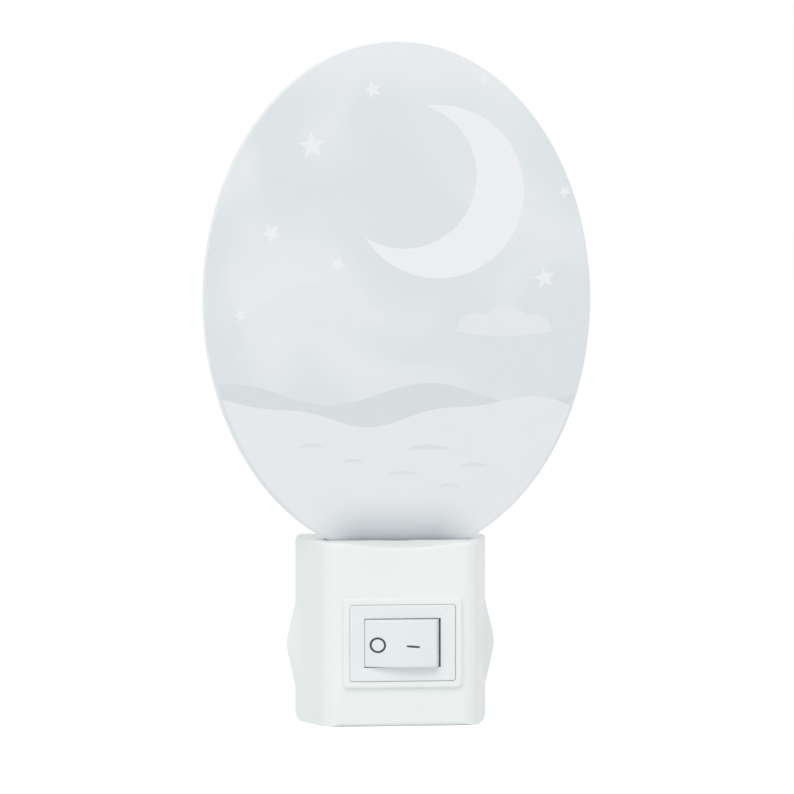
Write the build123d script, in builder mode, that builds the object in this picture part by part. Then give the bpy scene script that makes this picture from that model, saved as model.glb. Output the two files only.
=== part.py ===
from build123d import *

import os
from math import atan2, cos, degrees, radians, sin, sqrt, tan

# A night light that plugs straight into a wall socket. An oval light panel stands in the top of a
# small housing, and a rocker switch sits in the housing's front.
#
# Y = 0 is the plug's rear face and +Y points into the socket. Z = 0 is the height of the two plug
# pins, which lie either side of X = 0. The housing's front looks along -Y. All sizes are in mm.

# ------------------------------------------------------------------ housing
base_width = 37.9  # across the rim, where the two shells meet
side_draft = 3.95  # how far each side closes in from the rim to the front face
rear_draft = 0.9  # the same from the rim to the back plate
base_drop = 16.4  # from the pins down to the underside
base_rise = 20.1  # from the pins up to the top, at the rim
top_draft = 0.5  # how far the top falls from the rim to the front face
front_shell_depth = 16.5  # front face to rim
rear_cover_depth = 5.5  # rim to back plate
wall = 2.0
front_corner_radius = 4.0
bottom_corner_radius = 1.7
top_edge_radius = 0.9
bottom_edge_radius = 0.8
back_edge_radius = 0.5
cavity_corner_radius = 2.0
seam_lip_depth = 1.8
seam_lip_thickness = 0.9
seam_clearance = 0.15
seam_root = 0.6

# finger grips, one on each side, split by the rim
grip_drop = 1.25  # how far the grips' middle lies below the pins
grip_half_height = 8.6
grip_reach = 1.95  # of the vee's point before it is rounded
grip_front_length = 4.0
grip_back_length = 3.6
grip_steps = (0.0, 0.3, 0.6, 0.93)  # shares of the grip's length that carry a section
grip_root = 0.5  # how far a grip is rooted in the wall
grip_tip_share = 0.2  # share of a grip's half height that its rounded tip takes

# ------------------------------------------------------------------ plug
plug_depth = 18.0  # back plate to the plug's rear face
plug_width = 32.8
plug_height = 13.7
plug_flat_width = 24.0
plug_end_height = 4.4
plug_wall = 1.8
plug_end_wall = 4.0
plug_corner_radius = 1.2
plug_edge_radius = 0.8
pin_spacing = 19.0
pin_length = 19.0
pin_radius = 2.0
pin_core_radius = 1.5
pin_tip_radius = 1.6
pin_collar_radius = 3.0
pin_collar_thickness = 1.2
pin_inner_length = 8.0  # from the rear face inwards to the solder end
sleeve_length = 10.0
sleeve_radius = 1.8
pin_fit = 0.03  # radial

# ------------------------------------------------------------------ light panel
panel_half_width = 38.2
panel_half_height = 50.5
panel_thickness = 3.5
panel_sink = 3.7  # how far the oval's lowest point lies below the housing's top
panel_setback = 5.6  # housing's front face to the film on the panel
panel_edge_chamfer = 0.2
film_thickness = 0.2
film_inset = 0.1
tongue_width = 22.0
slot_clearance = 0.15
holder_wall = 1.8
holder_tip_gap = 0.4
peg_radius = 0.8
peg_offset = 7.0
peg_fit = 0.03
peg_drop = 1.2
scoop_width = 29.0
scoop_depth = 1.6  # at the front face, below the top at the rim
scoop_back_depth = 0.4  # at the panel
scoop_edge_radius = 0.7

# ------------------------------------------------------------------ lamps under the panel
lamp_count = 3
lamp_size = 5.0
lamp_height = 1.6
lamp_edge_chamfer = 0.2
lamp_pitch = 7.5
lamp_gap = 0.6
lamp_board_thickness = 1.2
lamp_board_width = 6.0
lamp_board_gap = 1.0  # above the switch
rail_width = 6.0
rail_floor = 1.5
rail_grip = 1.5
rail_clearance = 0.1

# ------------------------------------------------------------------ rocker switch
switch_body_width = 19.0
switch_body_height = 12.8
switch_end_wall = 1.95
switch_side_wall = 1.6
bezel_end_overlap = 0.95  # how far the bezel reaches past the body, left and right
bezel_side_overlap = 1.1  # the same above and below
bezel_thickness = 1.5
bezel_corner_radius = 0.6
bezel_gap = 0.05
bezel_land = 0.7
bezel_edge_radius = 0.3
bevel_depth = 0.3
pad_height = 1.0
pad_border = 1.3
pad_slope_width = 0.1
pad_root = 0.5
pad_corner_radius = 0.9
pad_edge_radius = 0.5
switch_body_fit = 0.1
switch_floor = 1.3
snap_reach = 0.6
snap_length = 3.0
snap_width = 4.0
rocker_side_clearance = 0.15
rocker_end_clearance = 0.07
rocker_half_tilt = 9.0  # degrees each side of level
rocker_pressed_depth = 0.3  # pressed end below the bezel's face
rocker_crown = 1.3
rocker_skirt = 1.2
rocker_wall = 1.2
rocker_edge_radius = 0.35
pivot_depth = 2.6  # behind the bezel's face
trunnion_radius = 1.2
trunnion_length = 0.8
trunnion_fit = 0.05
stem_radius = 1.8
stem_bore_radius = 1.05
stem_length = 3.0
stem_bore_end = -1.6
plunger_radius = 1.0
plunger_reach = 5.9  # pivot to tip
plunger_length = 4.9
plunger_dome_share = 0.9
spring_wire_radius = 0.15
spring_radius = 0.75
spring_turns = 4
spring_end_gap = 0.05

# contact lever and terminals
lever_gap = 0.15  # plunger tip to lever at mid stroke
lever_length = 9.6
lever_width = 3.2
lever_thickness = 0.5
lever_half_tilt = 5.0
contact_radius = 0.9
contact_height = 0.4
contact_offset = 3.9
contact_gap = 0.08
fulcrum_radius = 0.45  # half round bead on the lever's back, turning in the common terminal's end
fulcrum_gap = 0.05
fulcrum_seat_depth = 0.15
terminal_thickness = 0.5
terminal_width = 3.2
terminal_pad_width = 2.6
terminal_floor_gap = 0.5
terminal_fit = 0.05
terminal_board_gap = 1.85

# ------------------------------------------------------------------ main circuit board
board_thickness = 1.6
board_standoff = 1.0
board_edge_gap = 1.1
board_rise = 11.0
board_foot_gap = 0.5
board_window_width = 4.6
board_window_height = 7.0
standoff_radius = 2.0
standoff_peg_radius = 1.0
standoff_peg_fit = 0.05
standoff_peg_proud = 0.6
standoff_inset = 3.15  # from the board's side edge
standoff_rise = 8.2
part_gap = 0.8  # between the switch and the parts above and below it
part_side_gap = 0.4  # between a part and the switch beside it or the seam lip
dropper_width = 15.0
dropper_depth = 11.0
dropper_corner_radius = 0.6
rectifier_depth = 3.2
rectifier_height = 8.0
rectifier_chamfer = 0.3
smoother_length = 6.5
smoother_edge_radius = 0.4
resistor_radius = 1.1
resistor_length = 6.0
resistor_lead_radius = 0.3
resistor_lead_reach = 1.2
resistor_lead_bend = 0.6
resistor_edge_radius = 0.5
resistor_lift = 0.3
resistor_inset = 8.35  # from the board's side edge
link_radius = 0.35
link_spacing = 2.6

# ------------------------------------------------------------------ wires and screws
wire_radius = 0.6
wire_straight = 4.0
wire_bend_share = 0.45
live_wire_run = 5.4
press_rib_width = 2.0
press_rib_height = 4.0
press_rib_offset = 9.0
press_rib_gap = 0.1
press_rib_lift = 0.5
screw_radius = 1.1
screw_length = 11.0
screw_head_radius = 2.3
screw_head_height = 1.8
screw_head_edge_radius = 0.4
screw_head_fit = 0.2
screw_seat_depth = 2.0
screw_hole_fit = 0.2
screw_pilot_fit = 0.03
screw_pilot_depth = 0.5
screw_boss_radius = 2.5
screw_boss_gap = 0.15  # above the seam lip
screw_boss_skin = 0.5  # beside a boss's front end, to the housing's outside
screw_column_radius = 3.3
screw_slot_width = 0.7
screw_slot_depth = 0.8

# ------------------------------------------------------------------ places worked out from the sizes
back_plate_y = -plug_depth
back_plate_inner_y = back_plate_y - wall
rim_y = back_plate_y - rear_cover_depth
face_y = rim_y - front_shell_depth
face_inner_y = face_y + wall
top_inner_z = base_rise - wall
bottom_inner_z = wall - base_drop

film_front_y = face_y + panel_setback
panel_front_y = film_front_y + film_thickness
panel_back_y = panel_front_y + panel_thickness
film_back_y = panel_back_y + film_thickness
panel_mid_y = (film_front_y + film_back_y) / 2
panel_stack = film_back_y - film_front_y
panel_centre_z = base_rise - panel_sink + panel_half_height

bezel_width = switch_body_width + 2 * bezel_end_overlap
bezel_height = switch_body_height + 2 * bezel_side_overlap
rocker_hole_width = switch_body_width - 2 * switch_end_wall
rocker_hole_height = switch_body_height - 2 * switch_side_wall
rocker_height = rocker_hole_height - 2 * rocker_side_clearance
switch_face_y = face_y - pad_height
pivot_y = switch_face_y + pivot_depth
lever_pivot_y = pivot_y + plunger_reach + lever_gap + lever_thickness
contact_swing = contact_offset * sin(radians(lever_half_tilt))
fixed_contact_y = lever_pivot_y + contact_swing + contact_height + contact_gap
switch_floor_y = fixed_contact_y + terminal_floor_gap + terminal_thickness
switch_back_y = switch_floor_y + switch_floor

lamp_board_z = switch_body_height / 2 + lamp_board_gap
lamp_board_top_z = lamp_board_z + lamp_board_thickness
tongue_bottom_z = lamp_board_top_z + lamp_height + lamp_gap
holder_bottom_z = tongue_bottom_z + holder_tip_gap
holder_depth = panel_stack + 2 * slot_clearance + 2 * holder_wall
holder_half_width = tongue_width / 2 + slot_clearance + holder_wall
holder_mid_z = (holder_bottom_z + top_inner_z) / 2
rail_inner_x = holder_half_width + rail_clearance
lamp_board_half_length = rail_inner_x + rail_grip

board_back_y = back_plate_inner_y - board_standoff
board_front_y = board_back_y - board_thickness
terminal_end_y = board_front_y - terminal_board_gap
live_wire_end_y = terminal_end_y + live_wire_run
board_half_width = base_width / 2 - wall - board_edge_gap

lip_inset = wall + seam_clearance + seam_lip_thickness
side_part_x = switch_body_width / 2 + snap_reach + part_side_gap
dropper_top_z = -(switch_body_height / 2 + part_gap)
dropper_height = base_drop - lip_inset - part_side_gap + dropper_top_z

screw_seat_y = back_plate_y - screw_seat_depth
screw_end_y = screw_seat_y - screw_length
pin_places = [(-pin_spacing / 2, 0), (pin_spacing / 2, 0)]
press_rib_z = board_rise + press_rib_gap + press_rib_height / 2 + press_rib_lift
resistor_offset = board_half_width - resistor_inset
standoff_x = board_half_width - standoff_inset
standoff_places = [(-standoff_x, standoff_rise), (standoff_x, standoff_rise)]

overrun = 1.0  # how far a cutting shape starts outside what it cuts


def upright(y):
    """Plane facing the front at depth y: its x is X, its y is Z, and it extrudes towards -Y."""
    return Plane.XZ.offset(-y)


def side_at(y):
    """Half the housing's width at depth y, along the draft of the shell that is there."""
    if y < rim_y:
        return base_width / 2 - side_draft * (rim_y - y) / front_shell_depth
    return base_width / 2 - rear_draft * (y - rim_y) / rear_cover_depth


def draw_base_outline(half_width, upper_radius):
    """Housing outline seen from the front, in the open sketch."""
    with Locations((0, (base_rise - base_drop) / 2)):
        Rectangle(2 * half_width, base_drop + base_rise)
    fillet(vertices().group_by(Axis.Y)[0], radius=bottom_corner_radius)
    if upper_radius:
        fillet(vertices().group_by(Axis.Y)[-1], radius=upper_radius)


def draw_plan_outline(inset, corner_radius):
    """Front shell outline seen from above, taken in by inset, in the open sketch."""
    rim_half = side_at(rim_y) - inset
    face_half = side_at(face_y + inset) - inset
    Polygon(
        (-rim_half, rim_y),
        (-face_half, face_y + inset),
        (face_half, face_y + inset),
        (rim_half, rim_y),
    )
    fillet(vertices().group_by(Axis.Y)[0], radius=corner_radius)


def draw_plug_outline():
    """Plug outline seen from the back: two flats joined by blunt pointed ends, in the open sketch."""
    Polygon(
        (-plug_width / 2, -plug_end_height / 2),
        (-plug_flat_width / 2, -plug_height / 2),
        (plug_flat_width / 2, -plug_height / 2),
        (plug_width / 2, -plug_end_height / 2),
        (plug_width / 2, plug_end_height / 2),
        (plug_flat_width / 2, plug_height / 2),
        (-plug_flat_width / 2, plug_height / 2),
        (-plug_width / 2, plug_end_height / 2),
    )


def grip_sections(length, towards):
    """Sections of the right finger grip, from the rim along Y; towards is -1 for the front.

    Each is a blunt vee, and they shrink to nothing along a hollow curve.
    """
    sections = []
    for share in grip_steps:
        y = rim_y + towards * length * share
        wall_x = side_at(y)
        half_height = grip_half_height * sqrt(1 - share**2)
        reach = grip_reach * (1 - share) ** 2
        skin = grip_root / 10
        tip_radius = grip_tip_share * half_height / sin(atan2(reach + skin, half_height))
        with BuildSketch(upright(y)) as section:
            Polygon(
                (wall_x - grip_root, -grip_drop - half_height),
                (wall_x - skin, -grip_drop - half_height),
                (wall_x + reach, -grip_drop),
                (wall_x - skin, half_height - grip_drop),
                (wall_x - grip_root, half_height - grip_drop),
            )
            fillet(vertices().sort_by(Axis.X)[-1], radius=tip_radius)
        sections.append(section.sketch)
    return sections


screw_x = side_at(face_inner_y) - screw_boss_radius - screw_boss_skin
screw_z = lip_inset + screw_boss_radius + screw_boss_gap - base_drop
screw_places = [(-screw_x, screw_z), (screw_x, screw_z)]

# ------------------------------------------------------------------ front shell
scoop_radius = (scoop_width**2 / 4 + scoop_depth**2) / (2 * scoop_depth)
scoop_axis = Axis((0, 0, base_rise - scoop_depth + scoop_radius), (0, 1, 0))
scoop_slope = (scoop_depth - scoop_back_depth) / panel_setback
scoop_angle = atan2(scoop_slope, 1)
lip_start_y = face_y + scoop_edge_radius * (1 - sin(scoop_angle))
lip_start_z = base_rise - scoop_depth + scoop_slope * (lip_start_y - face_y)
pad_width = bezel_width + 2 * pad_border
pad_tall = bezel_height + 2 * pad_border
bezel_back_y = switch_face_y + bezel_thickness

with BuildPart() as front_shell:
    with BuildSketch(Plane.XY.offset(-base_drop)):
        draw_plan_outline(0, front_corner_radius)
    extrude(amount=base_drop + base_rise)
    with BuildSketch(upright(rim_y)):
        draw_base_outline(side_at(rim_y), 0)
    extrude(amount=front_shell_depth, mode=Mode.INTERSECT)
    with BuildSketch(Plane.YZ):
        Polygon(
            (face_y, -base_drop),
            (rim_y, -base_drop),
            (rim_y, base_rise),
            (face_y, base_rise - top_draft),
        )
        fillet(vertices().group_by(Axis.Y)[0].sort_by(Axis.X)[0], radius=bottom_edge_radius)
    extrude(amount=base_width, both=True, mode=Mode.INTERSECT)
    top_edges = front_shell.faces().sort_by(Axis.Z)[-1].edges()
    fillet(top_edges.sort_by(Axis.Y)[:-1], radius=top_edge_radius)
    front_grip = loft(grip_sections(grip_front_length, -1))
    mirror(front_grip, about=Plane.YZ)

    # soft pad that frames the switch
    pad_spread = pad_slope_width * (1 + pad_root / pad_height)
    with BuildSketch(upright(face_y + pad_root)):
        RectangleRounded(
            pad_width + 2 * pad_spread,
            pad_tall + 2 * pad_spread,
            pad_corner_radius + pad_spread,
        )
    with BuildSketch(upright(switch_face_y)):
        RectangleRounded(pad_width, pad_tall, pad_corner_radius)
    loft()
    pad_face = front_shell.faces().sort_by(Axis.Y)[0]
    fillet(pad_face.edges(), radius=pad_edge_radius)

    # inside
    with BuildSketch(Plane.XY.offset(bottom_inner_z)):
        draw_plan_outline(wall, cavity_corner_radius)
    extrude(amount=top_inner_z - bottom_inner_z, mode=Mode.SUBTRACT)
    with BuildSketch(upright(rim_y)):
        draw_base_outline(side_at(rim_y), 0)
        offset(amount=-wall, kind=Kind.INTERSECTION, mode=Mode.REPLACE)
    extrude(amount=seam_lip_depth + seam_clearance, mode=Mode.SUBTRACT)

    # shallow dished scoop in the top, from the panel down over the front edge
    with BuildSketch(Plane.YZ):
        with BuildLine():
            floor_line = Line((film_front_y, base_rise - scoop_back_depth), (lip_start_y, lip_start_z))
            lip = JernArc(
                floor_line @ 1,
                floor_line % 1,
                scoop_edge_radius,
                90 - degrees(scoop_angle),
            )
            Polyline(
                lip @ 1,
                (face_y - overrun, (lip @ 1).Y),
                (face_y - overrun, base_rise + overrun),
                (film_front_y, base_rise + overrun),
                floor_line @ 0,
            )
        make_face()
    revolve(axis=scoop_axis, mode=Mode.SUBTRACT)

    # slot for the panel, which follows its edge and its tongue
    with BuildSketch(upright(film_back_y + slot_clearance)):
        with Locations((0, panel_centre_z)):
            Ellipse(panel_half_width + slot_clearance, panel_half_height + slot_clearance)
        with Locations((0, top_inner_z)):
            Rectangle(tongue_width + 2 * slot_clearance, 2 * overrun)
    extrude(amount=panel_stack + 2 * slot_clearance, mode=Mode.SUBTRACT)

    # recess for the bezel and hole for the switch body
    with BuildSketch(upright(bezel_back_y)):
        RectangleRounded(
            bezel_width + 2 * bezel_gap,
            bezel_height + 2 * bezel_gap,
            bezel_corner_radius + bezel_gap,
        )
    extrude(amount=bezel_thickness + overrun, mode=Mode.SUBTRACT)
    with BuildSketch(upright(face_inner_y + overrun)):
        Rectangle(switch_body_width + 2 * switch_body_fit, switch_body_height + 2 * switch_body_fit)
    extrude(amount=wall + pad_height + 2 * overrun, mode=Mode.SUBTRACT)

    # rails that carry the lamp board and hold the panel holder between them
    rail_outer_x = side_at(panel_mid_y) - wall / 2
    rail_bottom_z = lamp_board_z - rail_floor
    for side in (-1, 1):
        with BuildSketch(Plane.XY.offset(rail_bottom_z)):
            with Locations((side * (rail_inner_x + rail_outer_x) / 2, panel_mid_y)):
                Rectangle(rail_outer_x - rail_inner_x, rail_width)
        extrude(amount=top_inner_z - rail_bottom_z)
    with BuildSketch(Plane.XY.offset(lamp_board_z)):
        with Locations((0, panel_mid_y)):
            Rectangle(2 * (lamp_board_half_length + rail_clearance), rail_width + overrun)
    extrude(amount=lamp_board_thickness + rail_clearance, mode=Mode.SUBTRACT)

    # screw bosses
    with BuildSketch(upright(rim_y)):
        with Locations(screw_places):
            Circle(screw_boss_radius)
    extrude(amount=front_shell_depth - wall)
    with BuildSketch(upright(rim_y)):
        with Locations(screw_places):
            Circle(screw_radius + screw_pilot_fit)
    extrude(amount=rim_y - screw_end_y + screw_pilot_depth, mode=Mode.SUBTRACT)
front_shell.part.label = "front_shell"

# ------------------------------------------------------------------ rear cover with the plug
with BuildPart() as rear_cover:
    with BuildSketch(Plane.XY.offset(-base_drop)):
        Polygon(
            (-side_at(rim_y), rim_y),
            (side_at(rim_y), rim_y),
            (side_at(back_plate_y), back_plate_y),
            (-side_at(back_plate_y), back_plate_y),
        )
    extrude(amount=base_drop + base_rise)
    for level, radius in ((0, bottom_corner_radius), (-1, top_edge_radius)):
        level_edges = rear_cover.edges().group_by(Axis.Z)[level].sort_by(Axis.X)
        fillet((level_edges[0], level_edges[-1]), radius=radius)
    fillet(rear_cover.faces().sort_by(Axis.Y)[-1].edges(), radius=back_edge_radius)
    back_grip = loft(grip_sections(grip_back_length, 1))
    mirror(back_grip, about=Plane.YZ)
    with BuildSketch(upright(back_plate_y - wall / 2)):
        draw_plug_outline()
        fillet(vertices(), radius=plug_corner_radius)
    extrude(amount=-(plug_depth + wall / 2))
    fillet(rear_cover.faces().sort_by(Axis.Y)[-1].edges(), radius=plug_edge_radius)

    # inside of the cover and of the plug
    with BuildSketch(upright(rim_y)):
        draw_base_outline(side_at(rim_y), top_edge_radius)
        offset(amount=-wall, kind=Kind.INTERSECTION, mode=Mode.REPLACE)
    extrude(amount=wall - rear_cover_depth, mode=Mode.SUBTRACT)
    with BuildSketch(upright(back_plate_inner_y)):
        draw_plug_outline()
        offset(amount=-plug_wall, kind=Kind.INTERSECTION, mode=Mode.REPLACE)
    extrude(amount=-(plug_depth + wall - plug_end_wall), mode=Mode.SUBTRACT)

    # lip that nests inside the front shell
    with BuildSketch(upright(rim_y - seam_lip_depth)):
        draw_base_outline(side_at(rim_y), top_edge_radius)
        offset(amount=-(wall + seam_clearance), kind=Kind.INTERSECTION, mode=Mode.REPLACE)
        offset(amount=-seam_lip_thickness, kind=Kind.INTERSECTION, mode=Mode.SUBTRACT)
    extrude(amount=-(seam_lip_depth + seam_root))
    with BuildSketch(upright(rim_y)):
        draw_base_outline(side_at(rim_y), top_edge_radius)
        offset(amount=-wall / 2, kind=Kind.INTERSECTION, mode=Mode.REPLACE)
        offset(amount=-(wall / 2 + seam_clearance + seam_lip_thickness), mode=Mode.SUBTRACT)
    extrude(amount=-seam_root)

    # columns for the screws
    with BuildSketch(upright(rim_y)):
        with Locations(screw_places):
            Circle(screw_column_radius)
    extrude(amount=-(rear_cover_depth - wall))
    with BuildSketch(upright(rim_y - overrun)):
        with Locations(screw_places):
            Circle(screw_radius + screw_hole_fit)
    extrude(amount=-(rear_cover_depth + 2 * overrun), mode=Mode.SUBTRACT)
    with BuildSketch(upright(screw_seat_y)):
        with Locations(screw_places):
            Circle(screw_head_radius + screw_head_fit)
    extrude(amount=-(screw_seat_depth + overrun), mode=Mode.SUBTRACT)

    # standoffs and pegs for the main board, and ribs that press on the panel holder
    with BuildSketch(upright(board_back_y)):
        with Locations(standoff_places):
            Circle(standoff_radius)
    extrude(amount=-board_standoff)
    with BuildSketch(upright(board_front_y - standoff_peg_proud)):
        with Locations(standoff_places):
            Circle(standoff_peg_radius)
    extrude(amount=-(board_thickness + board_standoff + standoff_peg_proud))
    rib_front_y = panel_mid_y + holder_depth / 2 + press_rib_gap
    with BuildSketch(upright(rib_front_y)):
        with Locations((-press_rib_offset, press_rib_z), (press_rib_offset, press_rib_z)):
            Rectangle(press_rib_width, press_rib_height)
    extrude(amount=rib_front_y - back_plate_inner_y)

    # holes for the plug pins
    with BuildSketch(upright(0)):
        with Locations(pin_places):
            Circle(sleeve_radius + pin_fit)
    extrude(amount=plug_end_wall + overrun, both=True, mode=Mode.SUBTRACT)
rear_cover.part.label = "rear_cover"

# ------------------------------------------------------------------ plug pins and their sleeves
def draw_pin_profile():
    """Half section of one plug pin about its axis, in the open sketch: x is radius, y is depth."""
    with Locations((0, -pin_inner_length)):
        Rectangle(pin_core_radius, pin_inner_length + pin_length - pin_radius, align=Align.MIN)
    with Locations((0, -plug_end_wall - pin_collar_thickness)):
        Rectangle(pin_collar_radius, pin_collar_thickness, align=Align.MIN)
    with Locations((0, sleeve_length)):
        Rectangle(pin_radius, pin_length - sleeve_length, align=Align.MIN)
    fillet(vertices().sort_by(Axis.Y)[-2:].sort_by(Axis.X)[-1], radius=pin_tip_radius)


with BuildPart() as line_pin:
    with BuildSketch(Plane((-pin_spacing / 2, 0, 0), x_dir=(1, 0, 0), z_dir=(0, 0, 1))):
        draw_pin_profile()
    revolve(axis=Axis((-pin_spacing / 2, 0, 0), (0, 1, 0)))
line_pin.part.label = "line_pin"

with BuildPart() as neutral_pin:
    with BuildSketch(Plane((pin_spacing / 2, 0, 0), x_dir=(1, 0, 0), z_dir=(0, 0, 1))):
        draw_pin_profile()
    revolve(axis=Axis((pin_spacing / 2, 0, 0), (0, 1, 0)))
neutral_pin.part.label = "neutral_pin"

with BuildPart() as pin_sleeves:
    with BuildSketch(upright(-plug_end_wall)):
        with Locations(pin_places):
            Circle(sleeve_radius)
            Circle(pin_core_radius + pin_fit, mode=Mode.SUBTRACT)
    extrude(amount=-(plug_end_wall + sleeve_length))
pin_sleeves.part.label = "pin_sleeves"

# ------------------------------------------------------------------ light panel and its films
peg_z = holder_mid_z - peg_drop
peg_places = [(-peg_offset, peg_z), (peg_offset, peg_z)]

with BuildPart() as light_panel:
    with BuildSketch(upright(panel_back_y)):
        with Locations((0, panel_centre_z)):
            Ellipse(panel_half_width, panel_half_height)
        with Locations((0, tongue_bottom_z)):
            Rectangle(tongue_width, base_rise - tongue_bottom_z, align=(Align.CENTER, Align.MIN))
        with Locations(peg_places):
            Circle(peg_radius + peg_fit, mode=Mode.SUBTRACT)
    extrude(amount=panel_thickness)
    chamfer(light_panel.edges().sort_by(SortBy.LENGTH)[-2:], length=panel_edge_chamfer)
light_panel.part.label = "light_panel"

with BuildPart() as picture_film:
    with BuildSketch(upright(panel_front_y)):
        with Locations((0, panel_centre_z)):
            Ellipse(panel_half_width - film_inset, panel_half_height - film_inset)
    extrude(amount=film_thickness)
picture_film.part.label = "picture_film"

with BuildPart() as back_film:
    with BuildSketch(upright(film_back_y)):
        with Locations((0, panel_centre_z)):
            Ellipse(panel_half_width - film_inset, panel_half_height - film_inset)
    extrude(amount=film_thickness)
back_film.part.label = "back_film"

with BuildPart() as panel_holder:
    with BuildSketch(Plane.XY.offset(holder_bottom_z)):
        with Locations((0, panel_mid_y)):
            Rectangle(2 * holder_half_width, holder_depth)
            Rectangle(
                tongue_width + 2 * slot_clearance,
                panel_stack + 2 * slot_clearance,
                mode=Mode.SUBTRACT,
            )
    extrude(amount=top_inner_z - holder_bottom_z)
    with BuildSketch(upright(panel_mid_y + holder_depth)):
        with Locations(peg_places):
            Circle(peg_radius + peg_fit)
    extrude(amount=2 * holder_depth, mode=Mode.SUBTRACT)
panel_holder.part.label = "panel_holder"

with BuildPart() as panel_pegs:
    with BuildSketch(upright(panel_mid_y + holder_depth / 2)):
        with Locations(peg_places):
            Circle(peg_radius)
    extrude(amount=holder_depth)
panel_pegs.part.label = "panel_pegs"

# ------------------------------------------------------------------ lamp board and lamps
with BuildPart() as lamp_board:
    with BuildSketch(Plane.XY.offset(lamp_board_z)):
        with Locations((0, panel_mid_y)):
            Rectangle(2 * lamp_board_half_length, lamp_board_width)
    extrude(amount=lamp_board_thickness)
lamp_board.part.label = "lamp_board"

with BuildPart() as lamps:
    with BuildSketch(Plane.XY.offset(lamp_board_top_z)):
        with Locations((0, panel_mid_y)):
            with GridLocations(lamp_pitch, 0, lamp_count, 1):
                Rectangle(lamp_size, lamp_size)
    extrude(amount=lamp_height)
    chamfer(lamps.edges().group_by(Axis.Z)[-1], length=lamp_edge_chamfer)
lamps.part.label = "lamps"

# ------------------------------------------------------------------ switch body with its bezel
pressed_angle = radians(rocker_half_tilt)
rocker_end_radius = rocker_hole_width / 2 - rocker_end_clearance
snap_y = face_inner_y + switch_body_fit

with BuildPart() as switch_body:
    with BuildSketch(upright(bezel_back_y)):
        RectangleRounded(bezel_width, bezel_height, bezel_corner_radius)
    extrude(amount=bezel_thickness)
    with BuildSketch(upright(switch_back_y)):
        Rectangle(switch_body_width, switch_body_height)
    extrude(amount=switch_back_y - bezel_back_y)
    bezel_rim = switch_body.faces().sort_by(Axis.Y)[0].edges()
    fillet(bezel_rim, radius=bezel_edge_radius)

    # bevelled frame that leads down to the rocker's well
    with BuildSketch(upright(switch_face_y)):
        Rectangle(bezel_width - 2 * bezel_land, bezel_height - 2 * bezel_land)
    with BuildSketch(upright(switch_face_y + bevel_depth)):
        Rectangle(rocker_hole_width, rocker_hole_height)
    loft(mode=Mode.SUBTRACT)
    with BuildSketch(upright(switch_floor_y)):
        Rectangle(rocker_hole_width, rocker_hole_height)
    extrude(amount=switch_floor_y - switch_face_y, mode=Mode.SUBTRACT)

    # bearings for the rocker's trunnions
    with BuildSketch(Plane.XY):
        with Locations((0, pivot_y)):
            Circle(trunnion_radius + trunnion_fit)
    bearing_reach = rocker_hole_height / 2 + trunnion_length + trunnion_fit
    extrude(amount=bearing_reach, both=True, mode=Mode.SUBTRACT)

    # snaps that hold the body behind the front wall
    for side in (-1, 1):
        with BuildSketch(Plane.XY.offset(-snap_width / 2)):
            Polygon(
                (side * (switch_body_width / 2 - snap_reach), snap_y),
                (side * (switch_body_width / 2 + snap_reach), snap_y),
                (side * (switch_body_width / 2 - snap_reach), snap_y + snap_length),
            )
        extrude(amount=snap_width)

    # slots for the terminals
    with BuildSketch(upright(switch_back_y + overrun)):
        with Locations((0, 0), (-contact_offset, 0)):
            Rectangle(terminal_thickness + 2 * terminal_fit, terminal_width + 2 * terminal_fit)
    extrude(amount=switch_floor + 2 * overrun, mode=Mode.SUBTRACT)
switch_body.part.label = "switch_body"

# ------------------------------------------------------------------ rocker, plunger and spring
# The rocker rests with its left end pressed in, turned by its half tilt about the pivot. Its planes
# share that turn: x runs along the rocker and y into the housing.
rocker_x_dir = (cos(pressed_angle), -sin(pressed_angle), 0)
rocker_y_dir = (sin(pressed_angle), cos(pressed_angle), 0)
pressed_rise = pivot_depth - rocker_pressed_depth
corner_x = rocker_end_radius * cos(pressed_angle) - pressed_rise * sin(pressed_angle)
corner_y = -rocker_end_radius * sin(pressed_angle) - pressed_rise * cos(pressed_angle)
crown_y = corner_y - rocker_crown
tangent_x = rocker_end_radius * cos(pressed_angle)
tangent_y = -rocker_end_radius * sin(pressed_angle)
skirt_x = sqrt(rocker_end_radius**2 - rocker_skirt**2)


def rocker_level(z):
    """Plane across the rocker's pivot at height z, turned with the rocker."""
    return Plane((0, pivot_y, z), x_dir=rocker_x_dir, z_dir=(0, 0, 1))


def rocker_front(y):
    """Plane facing the rocker's front at y behind the pivot, turned with the rocker."""
    origin = (rocker_y_dir[0] * y, pivot_y + rocker_y_dir[1] * y, 0)
    return Plane(origin, x_dir=rocker_x_dir, z_dir=(-rocker_y_dir[0], -rocker_y_dir[1], 0))


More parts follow.
